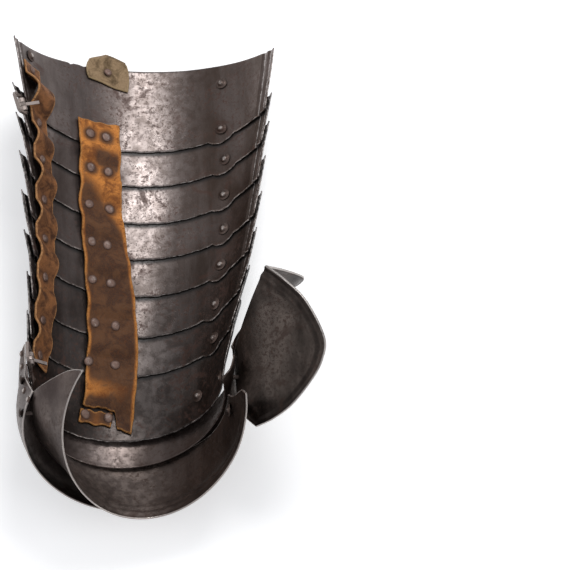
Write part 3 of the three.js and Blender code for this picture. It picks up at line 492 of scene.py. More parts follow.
def steel_material(name, patinas, bare, rust, rust_amount, edge, crest_wear_and_highlight):
    """Old steel on a piece that carries these values. border is the distance to its edge, and lap the
    distance below the edge that lies over it, where painted shade with some dirt darkens it. ridge is how
    high its flutes stand, and their tops get worn steel and a painted highlight. Another value says how much
    it was rubbed bare, with a painted sheen along the keel. outer is how far it lies to the outer side,
    where the second patina takes over, and low how far down to the knee and out on the wing, where painted
    shade darkens patina and bare steel.
    edge is the worn rim's width and what is left of its wear beyond that."""
    material, t, shader = new_material(name)
    wear = t.between(t.value("border"), 0.1, edge[0], edge[1], 0.0)
    # The tops of the flutes get worn steel and a painted highlight: fully on the inner face, less on the
    # outer
    worn_and_highlit_crests = t.math("MULTIPLY", t.value("ridge"), t.between(t.value("inside"), 0.0, 1.0, 0.4, 1.0))
    wear = t.math("MAXIMUM", wear, t.math("MULTIPLY", worn_and_highlit_crests, crest_wear_and_highlight))
    # Painted shade with some dirt under the edge of the plate above: full for 1.2 mm, gone 6.5 mm down
    grime = t.between(t.value("lap"), 1.2, 6.5, 1.0, 0.0)
    patina = t.mix(t.value("outer"), colour(patinas[0]), colour(patinas[1]))
    # Painted shade: patina and bare steel darker towards the knee and out on the wing
    patina = t.mix(t.math("MULTIPLY", t.value("low"), 0.92), patina, (0.016, 0.012, 0.010, 1))
    worn = t.mix(t.math("MULTIPLY", t.value("low"), 0.55), colour(bare), (0.05, 0.040, 0.034, 1))
    steel = t.use(OLD_STEEL, place=t.place(), patina=patina, bare=worn, rust=colour(rust),
                  rust_amount=rust_amount, wear=wear, grime=grime, clean=t.value("clean"))
    t.put(steel["Color"], shader.inputs["Base Color"])
    t.put(steel["Roughness"], shader.inputs["Roughness"])
    t.put(steel["Metallic"], shader.inputs["Metallic"])
    bumped(t, shader, steel["Height"], 0.35, 0.0012)
    return material


THIGH_PATINAS, THIGH_RUST = ("524844", "4e4038"), "4a2c20"
KNEE_PATINAS, KNEE_RUST = ("453b38", "3f332d"), "382318"
THIGH_STEEL = steel_material("thigh_steel", THIGH_PATINAS, "a59a96", THIGH_RUST, 0.7, (0.7, 0.42), 0.56)
KNEE_STEEL = steel_material("knee_steel", KNEE_PATINAS, "94867e", KNEE_RUST, 0.8, (0.8, 1.0), 0.75)
LAPPED_STEEL = steel_material("lapped_steel", KNEE_PATINAS, "a3958f", KNEE_RUST, 0.8, (0.5, 0.30), 0.0)


# Leather
def leather_group():
    """Dry leather: orange to brown clouds, dark stains, fine cracks and a fibrous grain."""
    group, given, result = new_group("dry_leather", [
        ("Place", "Vector", (0, 0, 0)), ("Light", "Color", (0.4, 0.2, 0.05, 1)),
        ("Dark", "Color", (0.1, 0.04, 0.01, 1)), ("Cut", "Color", (0.4, 0.2, 0.1, 1)),
        ("Stain", "Float", 0.0), ("Edge", "Float", 0.0),
    ], [("Color", "Color"), ("Roughness", "Float"), ("Height", "Float")])
    t = Tree(group)
    place = given.outputs["Place"]
    clouds = t.noise(place, 70, 6, 0.65, 0.6)
    fine = t.noise(place, 420, 5, 0.7)
    fibre = t.noise(t.spread(place, 700, 160, 700), 1, 4, 0.6)
    base = t.mix(t.between(clouds, 0.36, 0.62), given.outputs["Dark"], given.outputs["Light"])
    base = t.mix(t.between(fine, 0.5, 0.75, 0, 0.5), base, given.outputs["Light"])
    stain = t.between(t.math("ADD", given.outputs["Stain"], t.math("MULTIPLY", t.math(
        "SUBTRACT", clouds, 0.5), 1.6)), 0.25, 0.85)
    base = t.mix(t.math("MULTIPLY", stain, 0.86), base, (0.030, 0.017, 0.013, 1))
    cracks = t.node("TexVoronoi", feature="DISTANCE_TO_EDGE")
    t.put(place, cracks.inputs["Vector"])
    cracks.inputs["Scale"].default_value = 330
    lines = t.between(cracks.outputs["Distance"], 0.0, 0.07, 1.0, 0.0)
    base = t.mix(t.math("MULTIPLY", lines, 0.35), base, given.outputs["Dark"])
    frayed = t.math("MULTIPLY", given.outputs["Edge"], t.between(fine, 0.35, 0.6, 0.15, 0.85))
    base = t.mix(frayed, base, given.outputs["Cut"])
    t.put(base, result.inputs["Color"])
    t.put(t.between(clouds, 0.3, 0.7, 0.82, 0.62), result.inputs["Roughness"])
    height = t.math("SUBTRACT", t.math("MULTIPLY", fine, 0.5), t.math("MULTIPLY", lines, 0.18))
    height = t.math("ADD", height, t.math("MULTIPLY", fibre, 0.25))
    t.put(t.math("ADD", height, clouds), result.inputs["Height"])
    return group


DRY_LEATHER = leather_group()


def leather_material(name, light, dark, cut, cut_width):
    """Leather on a piece that carries border and stain, with the paler cut edge of the hide."""
    material, t, shader = new_material(name)
    shader.inputs["Specular IOR Level"].default_value = 0.35
    edge = t.between(t.value("border"), 0.0, cut_width, 1.0, 0.0)
    leather = t.use(DRY_LEATHER, place=t.place(), light=colour(light), dark=colour(dark),
                    cut=colour(cut), stain=t.value("stain"), edge=edge)
    t.put(leather["Color"], shader.inputs["Base Color"])
    t.put(leather["Roughness"], shader.inputs["Roughness"])
    bumped(t, shader, leather["Height"], 0.6, 0.0012)
    return material


TAN_LEATHER = leather_material("tan_leather", "d98a3c", "7d481f", "c48a4c", 1.2)
SIDE_LEATHER = leather_material("side_leather", "8a5a34", "4a2d1a", "bd8a58", 1.6)
OLIVE_LEATHER = leather_material("olive_leather", "9a8060", "5c4931", "a8916c", 1.0)


def iron_material(name, patina, bare, rust_amount, worn, dullness):
    """Old iron of small parts, bare on top, and darkened at its foot by painted shade."""
    material, t, shader = new_material(name)
    wear = t.math("MULTIPLY", t.value("crown"), worn)
    iron = t.use(OLD_STEEL, place=t.place(), patina=colour(patina), bare=colour(bare),
                 rust=colour("4a2a1c"), rust_amount=rust_amount, wear=wear, grime=t.value("foot"))
    t.put(iron["Color"], shader.inputs["Base Color"])
    t.put(t.math("ADD", iron["Roughness"], dullness), shader.inputs["Roughness"])
    t.put(iron["Metallic"], shader.inputs["Metallic"])
    bumped(t, shader, iron["Height"], 0.4, 0.0008)
    return material


HEAD_IRON = iron_material("head_iron", "7d665c", "98837a", 0.35, 0.35, 0.22)
WASHER_IRON = iron_material("washer_iron", "564842", "8c7e76", 0.6, 0.6, 0.12)
BUCKLE_IRON = iron_material("buckle_iron", "958983", "c4bab4", 0.3, 0.6, 0.05)


# The thigh plates
TOP_NOTCHES = ((-0.42, 1.8, 0.012), (-0.33, 1.2, 0.018))
PLATE_COLUMNS, REAR_COLUMNS, REAR_FROM = 181, 40, 0.86
TOP_ROWS, LAME_ROWS, LOWER_ROWS = 56, 34, 44
NO_LAP = 40.0
# The band of bare steel and painted sheen down the keel: its middle and width across u, its strength at the
# top, its ramps down the keel and a patch of its own
BARE_SHEEN_MIDDLE, BARE_SHEEN_WIDTH = 0.04, 0.27
BARE_SHEEN_AT_TOP = 0.75
BARE_SHEEN_RAMPS = ((60, 40, 0.25), (165, 70, -0.45), (320, 30, 0.15))
BARE_SHEEN_PATCH, PATCH_REACH, PATCH_GAIN = 313, 17, 0.5


def rubbed_bare_and_sheen(s, u):
    """How far the patina is rubbed off, with a painted sheen down the keel: a bell across u, along the keel,
    wandering a little with s. Down the keel each ramp adds its gain from its start over its length, and the
    patch is a bell of its own."""
    middle = BARE_SHEEN_MIDDLE + 0.05 * np.sin(0.021 * s + 1.0)
    fresh = BARE_SHEEN_AT_TOP + sum(gain * np.clip((s - start) / over, 0, 1) for start, over, gain in BARE_SHEEN_RAMPS)
    fresh = fresh + PATCH_GAIN * np.exp(-((s - BARE_SHEEN_PATCH) / PATCH_REACH) ** 2)
    return np.exp(-((u - middle) / BARE_SHEEN_WIDTH) ** 2) * fresh


def lobe(i, u):
    """How far plate i's lower edge drops round its sliding rivet: an arc across u."""
    rivet = PLATES[i][2]
    return 0 if rivet is None else LOBE_HEIGHT * np.maximum(0, 1 - ((u - rivet) / LOBE_WIDTH) ** 2)


def plate_piece(i):
    """Rows go straight down from the upper to the lower edge, with columns closer at the flutes. A sine
    wave brings the rows closer at both edges. The lower edge is ragged by two short waves, and the top
    plate's upper edge has notches, each a bell across u."""
    name = PLATES[i][0]
    rear = np.linspace(REAR_FROM, 1, REAR_COLUMNS)
    u = np.unique(np.concatenate([np.linspace(-1, 1, PLATE_COLUMNS), rear, -rear]))
    ragged = 0.25 * np.sin(37 * u + i) + 0.18 * np.sin(91 * u + 2 * i)
    start, end = upper_edge(i, u), EDGES[i] + lobe(i, u) + ragged
    count = LAME_ROWS
    if i == 0:
        start = start + sum(depth * np.exp(-((u - at) / wide) ** 2) for at, depth, wide in TOP_NOTCHES)
        count = TOP_ROWS
    if i == len(PLATES) - 1:
        count = LOWER_ROWS
    t = np.linspace(0, 1, count)[:, None]
    t = t + 0.06 * np.sin(2 * np.pi * t) / np.pi
    s = start + (end - start) * t
    u = np.broadcast_to(u, s.shape)
    grid, _, _ = thigh_point(s, u, plate_offset(i, s, u) + dents(s, u))
    lap = s - EDGES[i - 1] - lobe(i - 1, u) if i else NO_LAP
    values = {
        # ridge: worn steel and a painted highlight on the tops of the flutes
        "lap": np.maximum(lap, 0.0), "ridge": np.clip(flute(u) / FLUTE_HEIGHT, 0, 1) ** 2,
        # Rubbed bare steel with a painted sheen down the keel, and the outer side's share of the second
        # patina
        "clean": rubbed_bare_and_sheen(s, u), "outer": np.clip((u + 0.35) / 0.9, 0, 1),
        # low: painted shade, darker towards the knee
        "low": np.clip((s - 150) / 200, 0, 1),
    }
    thing = walled(name + "_sheet", grid, SHEET, THIGH_STEEL, values)
    finish_piece(thing, "thigh", "steel_plate", name)


for number in range(len(PLATES)):
    plate_piece(number)


# The knee
KNEE_ROWS, KNEE_COLUMNS = 48, 201
COP_ROWS, CUP_COLUMNS, WING_COLUMNS = 133, 171, 81
EAR_FROM = 0.6
LAME_BEAD, LAME_BEAD_WIDTH, LAME_BEAD_SIDES = 0.12, 1.2, 0.4
LAME_FLUTES = ((7.5, 2.4, 1.0), (15.0, 2.2, 0.8))
COP_ROLL, COP_ROLL_WIDTH, COP_GROOVE, COP_GROOVE_WIDTH = 10.0, 2.8, 5.0, 2.2
RIM_ON_CUP, RIM_ON_WING, RIM_AT, RIM_WIDTH = 0.35, 0.75, 1.0, 1.5


def knee_grid(rows, v, u, up=0.0, down=0.0):
    """Smooth stations at v, with the ears round the pivots pulled up and down the leg."""
    row = through(sized(rows), v)[:, None, :]
    u = np.broadcast_to(u, (len(v), len(u)))
    points = oval(row, u)
    reach = up + (-down - up) * v[:, None]
    points[..., 1] += reach * np.clip((np.abs(u) - EAR_FROM) / (1 - EAR_FROM), 0, 1)
    return points


def lame_bead(above, below, left, right):
    """Swelling of a lame's rim: a bell shape across the border, full at the lower edge."""
    def bell(distance):
        return np.exp(-((distance - 0.6 * LAME_BEAD_WIDTH) / LAME_BEAD_WIDTH) ** 2)
    return LAME_BEAD * np.maximum(bell(below), LAME_BEAD_SIDES * np.maximum(bell(left), bell(right)))


def knee_lame(name, rows, up, down, flute_height, drawn_in, material, bare_and_sheen_at, bare_and_sheen_width):
    """A knee lame with two low flutes along its lower edge, each a bell of the distance to it, rubbed
    bare and brightened by a painted sheen in a bell across u. drawn_in is how far its outer end lies inside
    its own surface, where the cop turns past it."""
    v, u = np.linspace(0, 1, KNEE_ROWS), np.linspace(-1, 1, KNEE_COLUMNS)
    grid = knee_grid(rows, v, u, up, down)
    grid = grid - grid_normals(grid) * (drawn_in * np.clip((u - 0.7) / 0.15, 0, 1))[None, :, None]
    _, below, _, _ = border_distance(grid)
    raised = flute_height * sum(gain * np.exp(-((below - at) / wide) ** 2) for at, wide, gain in LAME_FLUTES)
    # Bare steel with a painted sheen, in a bell across u
    clean = 0.95 * np.exp(-((u - bare_and_sheen_at) / bare_and_sheen_width) ** 2)
    values = {"lap": np.full(grid.shape[:2], NO_LAP), "clean": clean, "outer": np.clip(u + 0.5, 0, 1)}
    thing = walled(name + "_sheet", grid, SHEET, material, values, lame_bead, raised)
    finish_piece(thing, name, "steel_plate", name)


# The last two numbers place each lame's bell of bare steel and painted sheen across u
knee_lame("upper_knee_lame", UPPER_LAME, 7.0, 4.0, 0.0, 0.0, LAPPED_STEEL, -0.14, 0.20)
knee_lame("lower_knee_lame", LOWER_LAME, 8.0, 0.0, 0.75, 0.7, KNEE_STEEL, -0.1, 0.35)


def cop_piece():
    """The cop's cup, carried on past its outer rear edge to the wing's outline. The share of the way out
    is raised to a power for x alone, so that the wing turns outward as it goes. A low roll and the groove
    beside it follow the rim, each a bell of the distance to it."""
    v, u = np.linspace(0, 1, COP_ROWS), np.linspace(-1, 1, CUP_COLUMNS)
    cup = knee_grid(KNEE_COP, v, u)
    crease = WING_CREASE / (len(WING) - 1)
    outline = np.where(
        (v < crease)[:, None],
        through(WING[:WING_CREASE + 1], np.clip(v / crease, 0, 1)),
        through(WING[WING_CREASE:], np.clip((v - crease) / (1 - crease), 0, 1)),
    )
    end = outline * (WING_OUT, WING_REACH, WING_BACK) + WING_CORNER
    root = cup[:, -1]
    t = np.linspace(0, 1, WING_COLUMNS)[None, 1:, None]
    wing = root[:, None] + (end - root)[:, None] * t
    wing[..., 0] = root[:, None, 0] + (end - root)[:, None, 0] * t[..., 0] ** WING_CURL
    grid = np.concatenate([cup, wing], 1)
    _, below, _, right = border_distance(grid)
    on_wing = np.zeros(grid.shape[:2])
    on_wing[:, len(u):] = np.broadcast_to(t[..., 0], wing.shape[:2])
    inset = np.minimum(below, np.where(on_wing > 0, right, 99.0))
    raised = np.exp(-((inset - COP_ROLL) / COP_ROLL_WIDTH) ** 2)
    hollow = np.exp(-((inset - COP_GROOVE) / COP_GROOVE_WIDTH) ** 2)
    across = np.concatenate([u, np.full(wing.shape[1], 1.0)])

    def turned_rim(above, low, left, far):
        """Swelling of the rim. Over the cup it is thinner, so that the lower lame still passes."""
        on_rim = np.minimum(low, np.where(on_wing > 0, np.minimum(far, above + 2), 99))
        height = RIM_ON_CUP + (RIM_ON_WING - RIM_ON_CUP) * np.clip(3 * on_wing - 0.3, 0, 1)
        return height * np.exp(-((on_rim - RIM_AT) / RIM_WIDTH) ** 2)

    over_cup = 0.3 * np.clip((0.8 - np.abs(across)) / 0.2, 0, 1)
    relief = np.where(on_wing > 0, 0.6, over_cup) * raised - 0.3 * hollow
    relief = relief - np.where(on_wing > 0, 0, 1) * turned_rim(*border_distance(grid))
    # Bare steel with a painted sheen over the middle of the cup, none on the wing
    clean = 0.6 * np.exp(-((across - 0.1) / 0.4) ** 2) * (1 - on_wing)
    values = {
        "lap": np.full(grid.shape[:2], NO_LAP), "clean": clean, "outer": np.clip(across + 0.5, 0, 1),
        # low paints shade over the wing; ridge gives the roll worn steel and a painted highlight, mostly
        # round the middle
        "low": np.clip(2 * on_wing, 0, 1), "ridge": raised * np.exp(-((across - 0.1) / 0.35) ** 2),
    }
    thing = walled("knee_cop_sheet", grid, SHEET, KNEE_STEEL, values, turned_rim, relief)
    finish_piece(thing, "cop", "steel_plate", "knee_cop")


cop_piece()


# Leathers
def fold(f):
    """Lift of a leather between two rivets: flat beside them, then half a sine wave."""
    return np.maximum(0, np.sin(np.pi * (f - FLAT) / (1 - 2 * FLAT)))


def along_rivets(s, stations):
    """Which stretch between rivets s lies in, and how far through it."""
    i = np.clip(np.searchsorted(stations, s) - 1, 0, len(stations) - 2)
    return i, (s - np.asarray(stations)[i]) / np.diff(stations)[i]


def rivet_stain(s, u, rivets, reach):
    """Darkness round the rivets: a bell shape of the distance to the nearest one."""
    here = thigh_point(s, u)[0]
    marks = [np.exp(-(np.linalg.norm(here - thigh_point(a, b)[0], axis=-1) / reach) ** 2) for a, b in rivets]
    return np.max(marks, axis=0)


STRAP_ROWS, STRAP_COLUMNS, STRAP_ABOVE = 300, 41, 15
STRAP_DARK_FROM, STRAP_LAST_FOLD, WORN_FROM, WORN_OVER = 112.0, 343.0, 0.84, 0.14
TORN_AT, TORN_BY = (0, 0.3, 0.64, 0.72, 1), (-9, -8, -7, 9, 18)
SCRAP_ROWS, SCRAP_ABOVE, SCRAP_BELOW, SCRAP_INNER, SCRAP_OUTER = 24, 0.36, 0.6, 4.7, 3.0
SIDE_ROWS, SIDE_COLUMNS, SIDE_ABOVE, SIDE_BELOW = 320, 27, 6, 9


def middle_strap_piece():
    """The strap down the middle, bulging between its rivets and torn off unevenly at its lower end. Its
    rear edges curl up by a high power of the distance from its middle. It is dark round the rivets,
    between the first two pairs, and from STRAP_DARK_FROM down, and paler at its worn edges."""
    rows = np.array(STRAP)
    stations = np.array(STRAP_RIVETS_S)
    f, c = np.linspace(0, 1, STRAP_ROWS)[:, None], np.linspace(0, 1, STRAP_COLUMNS)[None, :]
    torn = np.interp(c, TORN_AT, TORN_BY) + 1.1 * np.sin(11 * c + 0.5) + 0.4 * np.sin(37 * c)
    end = stations[-1] - 0.3 + torn
    start = stations[0] - STRAP_ABOVE + 0.5 * np.sin(19 * c)
    s = start + (end - start) * f
    keys = [np.interp(s, stations, rows[:, k]) for k in (0, 1)]
    i, part = along_rivets(s, stations)
    last = i == len(stations) - 2
    lift = STRAP_BULGE * fold(np.where(last, np.minimum(part, 1.06) * 0.9, part)) * (s > stations[0])
    width = STRAP_WIDTH * keys[1] * (1 + 0.012 * np.sin(0.13 * s + 1) * (c - 0.5))
    u = keys[0] + (2 * c - 1) * span_of(s, keys[0], width) + 0.002 * np.sin(0.21 * s) * (2 * c - 1)
    curl = 0.5 * np.abs(2 * c - 1) ** 6 * (0.5 + 0.5 * np.sin(0.3 * s))
    grid, _, _ = thigh_point(s, u, -(SEAT + lift + curl + STRAP_THICKNESS))
    rivets = [(a, u0) for a, (_, _, left, right) in zip(stations, STRAP) for u0 in (left, right)]
    worn_edge = np.clip((np.abs(2 * c - 1) - WORN_FROM) / WORN_OVER, 0, 1)
    darker = 0.95 * np.clip((s - STRAP_DARK_FROM - 60 * c**2) / 35, 0, 1) * (1 - 0.75 * worn_edge)
    band = 0.35 * stations[0] + 0.65 * stations[1] + 8 * (c - 0.5)
    between_pairs = np.exp(-((s - band) / 12) ** 2) * np.clip((c - 0.08) / 0.4, 0, 1)
    between_pairs = between_pairs * (1 - 0.6 * worn_edge)
    stain = np.maximum(rivet_stain(s, u, rivets[:-2], 9.0) * 1.1, np.maximum(darker, between_pairs))
    last_fold = np.exp(-((s - STRAP_LAST_FOLD) / 13) ** 2) * (0.6 + 0.4 * np.cos(3 * c))
    stain = stain * (1 - 0.7 * last_fold) + 0.6 * np.clip((s - end + 14) / 14, 0, 1)
    thing = walled("middle_strap_leather", grid, STRAP_THICKNESS, TAN_LEATHER, {"stain": stain})
    finish_piece(thing, "thigh", "tan_leather", "middle_strap")


middle_strap_piece()


def scrap_piece():
    """The torn-off end that the last pair of rivets holds, its edges wavy by a sine across it."""
    s0 = STRAP_RIVETS_S[-1]
    _, _, left, right = STRAP[-1]
    f, c = np.linspace(0, 1, SCRAP_ROWS)[:, None], np.linspace(0, 1, STRAP_COLUMNS)[None, :]
    upper = -SCRAP_ABOVE * SCRAP_HEIGHT + np.sin(17 * c) * np.sin(np.pi * c)
    lower = SCRAP_BELOW * SCRAP_HEIGHT + 0.9 * np.sin(13 * c + 1)
    s = s0 + upper + (lower - upper) * f
    start = left - 2 * span_of(s, left, SCRAP_INNER)
    end = right + 2 * span_of(s, right, SCRAP_OUTER)
    u = start + (end - start) * c
    grid, _, _ = thigh_point(s, u, -(SEAT + SCRAP_THICKNESS) + 0 * s)
    stain = 0.6 + 0.4 * rivet_stain(s, u, [(s0, left), (s0, right)], 8.0)
    thing = walled("strap_scrap_leather", grid, SCRAP_THICKNESS, TAN_LEATHER, {"stain": stain})
    finish_piece(thing, "thigh", "tan_leather", "strap_scrap")


scrap_piece()


def side_strap_piece():
    """The folded strap at the inner rear edge. Each stretch between two rivets stands off in a wave."""
    stations = np.array(SIDE_RIVETS_S)
    f, c = np.linspace(0, 1, SIDE_ROWS)[:, None], np.linspace(0, 1, SIDE_COLUMNS)[None, :]
    start, end = stations[0] - SIDE_ABOVE, stations[-1] + SIDE_BELOW
    s = start + (end - start) * f + 0 * c
    i, part = along_rivets(s, stations)
    lean = 1 + 0.16 * (2 * c - 1) * np.sin(1.7 * i + 0.6)
    between = (s > stations[0]) & (s < stations[-1])
    lift = np.array(SIDE_FOLDS)[i] * SIDE_BULGE * fold(np.clip(part, 0, 1)) * between * lean
    width = SIDE_WIDTH * (1 + 0.05 * np.sin(0.09 * s + 0.5))
    u = SIDE_MIDDLE + (2 * c - 1) * span_of(s, SIDE_MIDDLE + 0 * s, width)
    grid, _, _ = thigh_point(s, u, -(SEAT + lift + SIDE_THICKNESS))
    stain = 0.75 * rivet_stain(s, u, [(a, SIDE_MIDDLE) for a in stations], 8.0)
    thing = walled("side_strap_leather", grid, SIDE_THICKNESS, SIDE_LEATHER, {"stain": stain})
    finish_piece(thing, "thigh", "tan_leather", "side_strap")


side_strap_piece()


# The tab over the top edge: above the edge and out of the plate as shares, and the width
TAB_ROWS, TAB_COLUMNS, TAB_RIVET_S = 90, 35, 6.0
TAB = [
    (-1.12, -0.9, 1.02), (-0.55, -0.9, 1.10), (0.15, -0.9, 1.06), (0.70, -1.2, 0.95),
    (1.00, 1.0, 0.80), (0.60, 3.6, 0.75), (0.10, 3.2, 0.75), (-0.60, 2.7, 0.70),
]


def tab_piece():
    """The tab's profile carried across its width. The crest falls off to both sides like a tent, and the
    flap's lower edge slants down to the outer side."""
    row = through(TAB, np.linspace(0, 1, TAB_ROWS))[:, None, :]
    c = np.linspace(0, 1, TAB_COLUMNS)[None, :]
    above, out, width = (row[..., k] + 0 * c for k in range(3))
    u = TAB_MIDDLE + (2 * c - 1) * span_of(0 * above, TAB_MIDDLE, TAB_WIDTH * width)
    base, normal, down = thigh_point(0 * above, u, LAP)
    tent = 1 - 0.45 * np.abs(2 * c - 1.04) ** 1.1
    slanted = np.clip(-above, 0, 1.2) * np.clip(1 - out, 0, 1) * 0.34 * (1 - 2 * c)
    rise = (np.where(above > 0, above * tent, above) + slanted) * TAB_RISE + 0.5 * np.sin(9 * c + above)
    middle = base - down * rise[..., None] + normal * (out * TAB_OUT)[..., None]
    grid = middle - grid_normals(middle) * TAB_THICKNESS / 2
    stain = 0.7 * rivet_stain(-rise, u, [(TAB_RIVET_S, TAB_MIDDLE)], 7.0)
    thing = walled("top_tab_leather", grid, TAB_THICKNESS, OLIVE_LEATHER, {"stain": stain})
    finish_piece(thing, "thigh", "olive_leather", "top_tab")


tab_piece()


# Rivets: the radius of each kind of head, its rise and how square its dome is
RIVET_SIDES, OVAL_BY, DOME_RINGS = 36, 0.05, 9
STRAP_HEAD, SIDE_HEAD, TAB_HEAD = (4.6, 1.0, 5.0), (4.1, 1.1, 4.0), (3.9, 1.1, 4.0)
WASHERED_HEAD, CHEEK_HEAD = (3.4, 1.7, 2.4), (3.0, 1.7, 2.4)
BURR, BURR_RIM, BURR_TOP, BURR_STEP, BURR_HEIGHT = 4.2, 3.9, 2.5, 0.8, 1.7


def revolved(profile, centre, axis, turn):
    """Closed turned form: each profile point (radius, height) goes round the axis, a little oval."""
    axis = unit(np.asarray(axis, float))
    across = unit(np.cross(axis, (0.31, 0.83, 0.46)))
    up = np.cross(axis, across)
    a = np.linspace(0, 2 * np.pi, RIVET_SIDES, endpoint=False)
    profile = np.asarray(profile, float)
    stretch = 1 + OVAL_BY * np.cos(2 * (a - turn)) + 0.4 * OVAL_BY * np.cos(3 * a + turn)
    ring = np.cos(a)[:, None] * across + np.sin(a)[:, None] * up
    points = (profile[:, None, 0, None] * stretch[None, :, None] * ring[None]
              + profile[:, None, 1, None] * axis + np.asarray(centre))
    n = len(profile)
    i, j = np.meshgrid(np.arange(n - 1), np.arange(RIVET_SIDES), indexing="ij")
    k = (j + 1) % RIVET_SIDES
    near, far = i * RIVET_SIDES, (i + 1) * RIVET_SIDES
    faces = np.stack([near + j, far + j, far + k, near + k], -1)
    return points.reshape(-1, 3), faces.reshape(-1, 4)


def rivet_piece(name, centre, axis, profile, material, body, replaced, seed):
    """A turned rivet. crown runs from 0 at its foot to 1 on top, and foot, a painted shade, from 0 there to
    a half below.
    """
    points, faces = revolved(profile, centre, axis, 1.7 * seed)
    height = (points - centre) @ unit(np.asarray(axis, float))
    crown = np.clip(height / max(p[1] for p in profile), 0, 1)
    thing = new_object(name, points, faces, {"crown": crown, "foot": np.clip(-height, 0, 1) * 0.5}, material)
    finish_piece(thing, body, "rivets", *replaced)


def head_profile(head, reach, washer=0.0):
    """Dome, its thin rim, the washer under it where there is one, and the shank down to its end. The dome
    rises by one minus the radius to a power."""
    radius, rise, square = head
    under = -0.15
    profile = [(radius * x, rise * (1 - x**square)) for x in np.linspace(0.02, 1, DOME_RINGS)]
    profile += [(radius * 1.01, under)]
    if washer:
        profile += [(washer * 0.93, -0.05), (washer, -0.25), (washer, -WASHER_THICKNESS)]
        under = -WASHER_THICKNESS
    return profile + [(SHANK, under), (SHANK, under - reach), (0.05, under - reach)]


def set_rivet(name, i, s, u, seat, head, seed, washer=0.0, past=SHEET, material=HEAD_IRON):
    """A thigh rivet: its head stands seat inside the thigh's surface, its shank ends in plate i."""
    point, normal, _ = thigh_point(s, u)
    lift = seat + (WASHER_THICKNESS if washer else 0)
    reach = seat + float(plate_offset(i, np.array(s), np.array(u))) + past
    profile = head_profile(head, reach, washer)
    rivet_piece(name + "_iron", point - normal * lift, -normal, profile, material, "thigh", (name,), seed)


for index, (s, (_, _, left, right)) in enumerate(zip(STRAP_RIVETS_S, STRAP)):
    last = index == len(STRAP) - 1
    seat = SCRAP_THICKNESS + SCRAP_SEAT if last else STRAP_THICKNESS + HEAD_SEAT
    for side, u in (("inner", left), ("outer", right)):
        seed = index + (u > -0.25) * 9
        set_rivet(f"strap_rivet_{index + 1}_{side}", index, s, u, seat, STRAP_HEAD, seed)
for index, s in enumerate(SIDE_RIVETS_S):
    seat = SIDE_THICKNESS + HEAD_SEAT
    set_rivet(f"side_strap_rivet_{index + 1}", index, s, SIDE_MIDDLE, seat, SIDE_HEAD, index + 31)

WASHERED = [(f"sliding_rivet_{k + 1}", k, k + 1, EDGES[k] - 11, PLATES[k][2]) for k in range(7)] + [
    ("top_rivet", 0, 0, 0.049 * KEEL_LENGTH, 0.555),
    ("side_top_rivet", 0, 0, 0.027 * KEEL_LENGTH, -0.79),
    ("lower_rivet", 7, 7, 0.779 * KEEL_LENGTH, 0.515),
]
for index, (name, near, far, s, u) in enumerate(WASHERED):
    offset = float(plate_offset(near, np.array(s), np.array(u)))
    set_rivet(name, far, s, u, HEAD_SEAT - offset, WASHERED_HEAD, index + 50, WASHER, SHEET + SEAT,
              WASHER_IRON)
set_rivet("tab_rivet", 0, TAB_RIVET_S, TAB_MIDDLE, TAB_OUT + TAB_THICKNESS / 2, TAB_HEAD, 70)


def pivot_piece(name, side, body):
    """A pivot's length is its CAD solid's along the drawing's X, and its place is that solid's middle. Its
    outer end is burred over."""
    corners = np.array([v.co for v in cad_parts[name].data.vertices])
    x, y, z = from_rest(corners).T
    inner = side * min(side * x)
    length = max(side * x) - min(side * x)
    rise = WASHERED_HEAD[1]
    centre = (inner + side * rise, (y.min() + y.max()) / 2, (z.min() + z.max()) / 2)
    profile = head_profile(WASHERED_HEAD, length - rise - BURR_HEIGHT - WASHER_THICKNESS, WASHER)
    far = profile[-1][1]
    top = far - BURR_HEIGHT
    profile[-2:] = [(SHANK, far), (BURR, far), (BURR_RIM, far - BURR_STEP), (BURR_TOP, top), (0.05, top)]
    rivet_piece(name + "_iron", centre, (-side, 0, 0), profile, WASHER_IRON, body, (name,), side + len(name))


for side_name, sign in (("inner", -1), ("outer", 1)):
    pivot_piece(f"upper_pivot_{side_name}", sign, "thigh")
    pivot_piece(f"lower_pivot_{side_name}", sign, "cop")


# Domed rivets along the cop's inner rear edge, on its outer face, at (share down the cop, u)
CHEEK_RIVETS = ((0.05, -0.955), (0.27, -0.955), (0.79, -0.955), (0.985, -0.95))
for index, (v, u) in enumerate(CHEEK_RIVETS):
    patch = knee_grid(KNEE_COP, v + np.array([-0.01, 0, 0.01]), u + np.array([-0.01, 0, 0.01]))
    outward = grid_normals(patch)[1, 1]
    rivet_piece(f"cheek_rivet_{index + 1}", patch[1, 1] + outward * SHEET, outward,
                head_profile(CHEEK_HEAD, SHEET * 0.8), WASHER_IRON, "cop", (), index + 80)

# Buckles keep their CAD forms and get old iron, without the attributes of the turned pieces.
for name in ("upper", "lower"):
    for part in ("chape", "frame", "tongue"):
        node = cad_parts[f"{name}_buckle_{part}"]
        node.data.materials.clear()
        node.data.materials.append(BUCKLE_IRON)

# Floor, camera and lights
FLOOR_SIZE, FLOOR_GLOW = 6.0, 0.35
LENS, SENSOR = 101.05, 36.0
CAMERA = (0.05744, -0.56752, 1.44934)
CAMERA_RIGHT, CAMERA_UP = (0.99744, -0.07072, 0.01047), (0.06218, 0.93150, 0.35834)


def plain_material(name, hexa, roughness):
    material, _, shader = new_material(name)
    shader.inputs["Base Color"].default_value = colour(hexa)
    shader.inputs["Roughness"].default_value = roughness
    return material


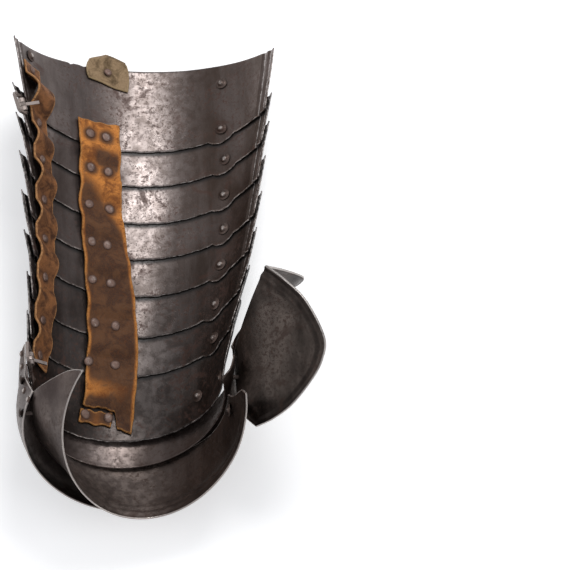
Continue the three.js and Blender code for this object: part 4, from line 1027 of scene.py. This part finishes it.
floor_mesh = bpy.data.meshes.new("floor")
half = FLOOR_SIZE / 2
floor_corners = [(-half, -half, 0), (half, -half, 0), (half, half, 0), (-half, half, 0)]
floor_mesh.from_pydata(floor_corners, [], [(0, 1, 2, 3)])
floor_white = plain_material("floor_white", "fbfbfb", 0.9)
floor_mesh.materials.append(floor_white)
floor_shader = floor_white.node_tree.nodes["Principled BSDF"]
floor_shader.inputs["Emission Color"].default_value = (1, 1, 1, 1)
floor_shader.inputs["Emission Strength"].default_value = FLOOR_GLOW
floor = bpy.data.objects.new("floor", floor_mesh)
bpy.context.scene.collection.objects.link(floor)

camera_data = bpy.data.cameras.new("camera")
camera_data.lens, camera_data.sensor_width = LENS, SENSOR
camera = bpy.data.objects.new("camera", camera_data)
bpy.context.scene.collection.objects.link(camera)
right_way, up_way = np.array(CAMERA_RIGHT), np.array(CAMERA_UP)
axes = np.stack([right_way, up_way, np.cross(right_way, up_way)], 1)
camera.matrix_world = Matrix.Translation(CAMERA) @ Matrix(axes.tolist()).to_4x4()
bpy.context.scene.camera = camera


def area_light(name, place, target, size, power):
    light = bpy.data.lights.new(name, "AREA")
    light.shape, light.size, light.size_y = "RECTANGLE", size[0], size[1]
    light.energy = power
    lamp = bpy.data.objects.new(name, light)
    lamp.location = place
    way = np.array(target) - np.array(place)
    lamp.rotation_mode = "QUATERNION"
    lamp.rotation_quaternion = Vector(way).to_track_quat("-Z", "Y")
    bpy.context.scene.collection.objects.link(lamp)


area_light("key", (0.43, 0.92, 1.46), (0, 0.05, 0.03), (0.65, 0.55), 11)
area_light("fill", (1.6, -0.6, 1.3), (0, 0, 0.05), (1.2, 1.2), 9)
area_light("left", (-1.7, 0.1, 0.9), (0, 0, 0.05), (1.0, 1.0), 6)
world = bpy.data.worlds.new("studio")
world.use_nodes = True
background = world.node_tree.nodes["Background"]
background.inputs["Color"].default_value = (0.93, 0.95, 1.0, 1)
background.inputs["Strength"].default_value = 0.5
bpy.context.scene.world = world
bpy.context.scene.view_settings.view_transform = "Standard"
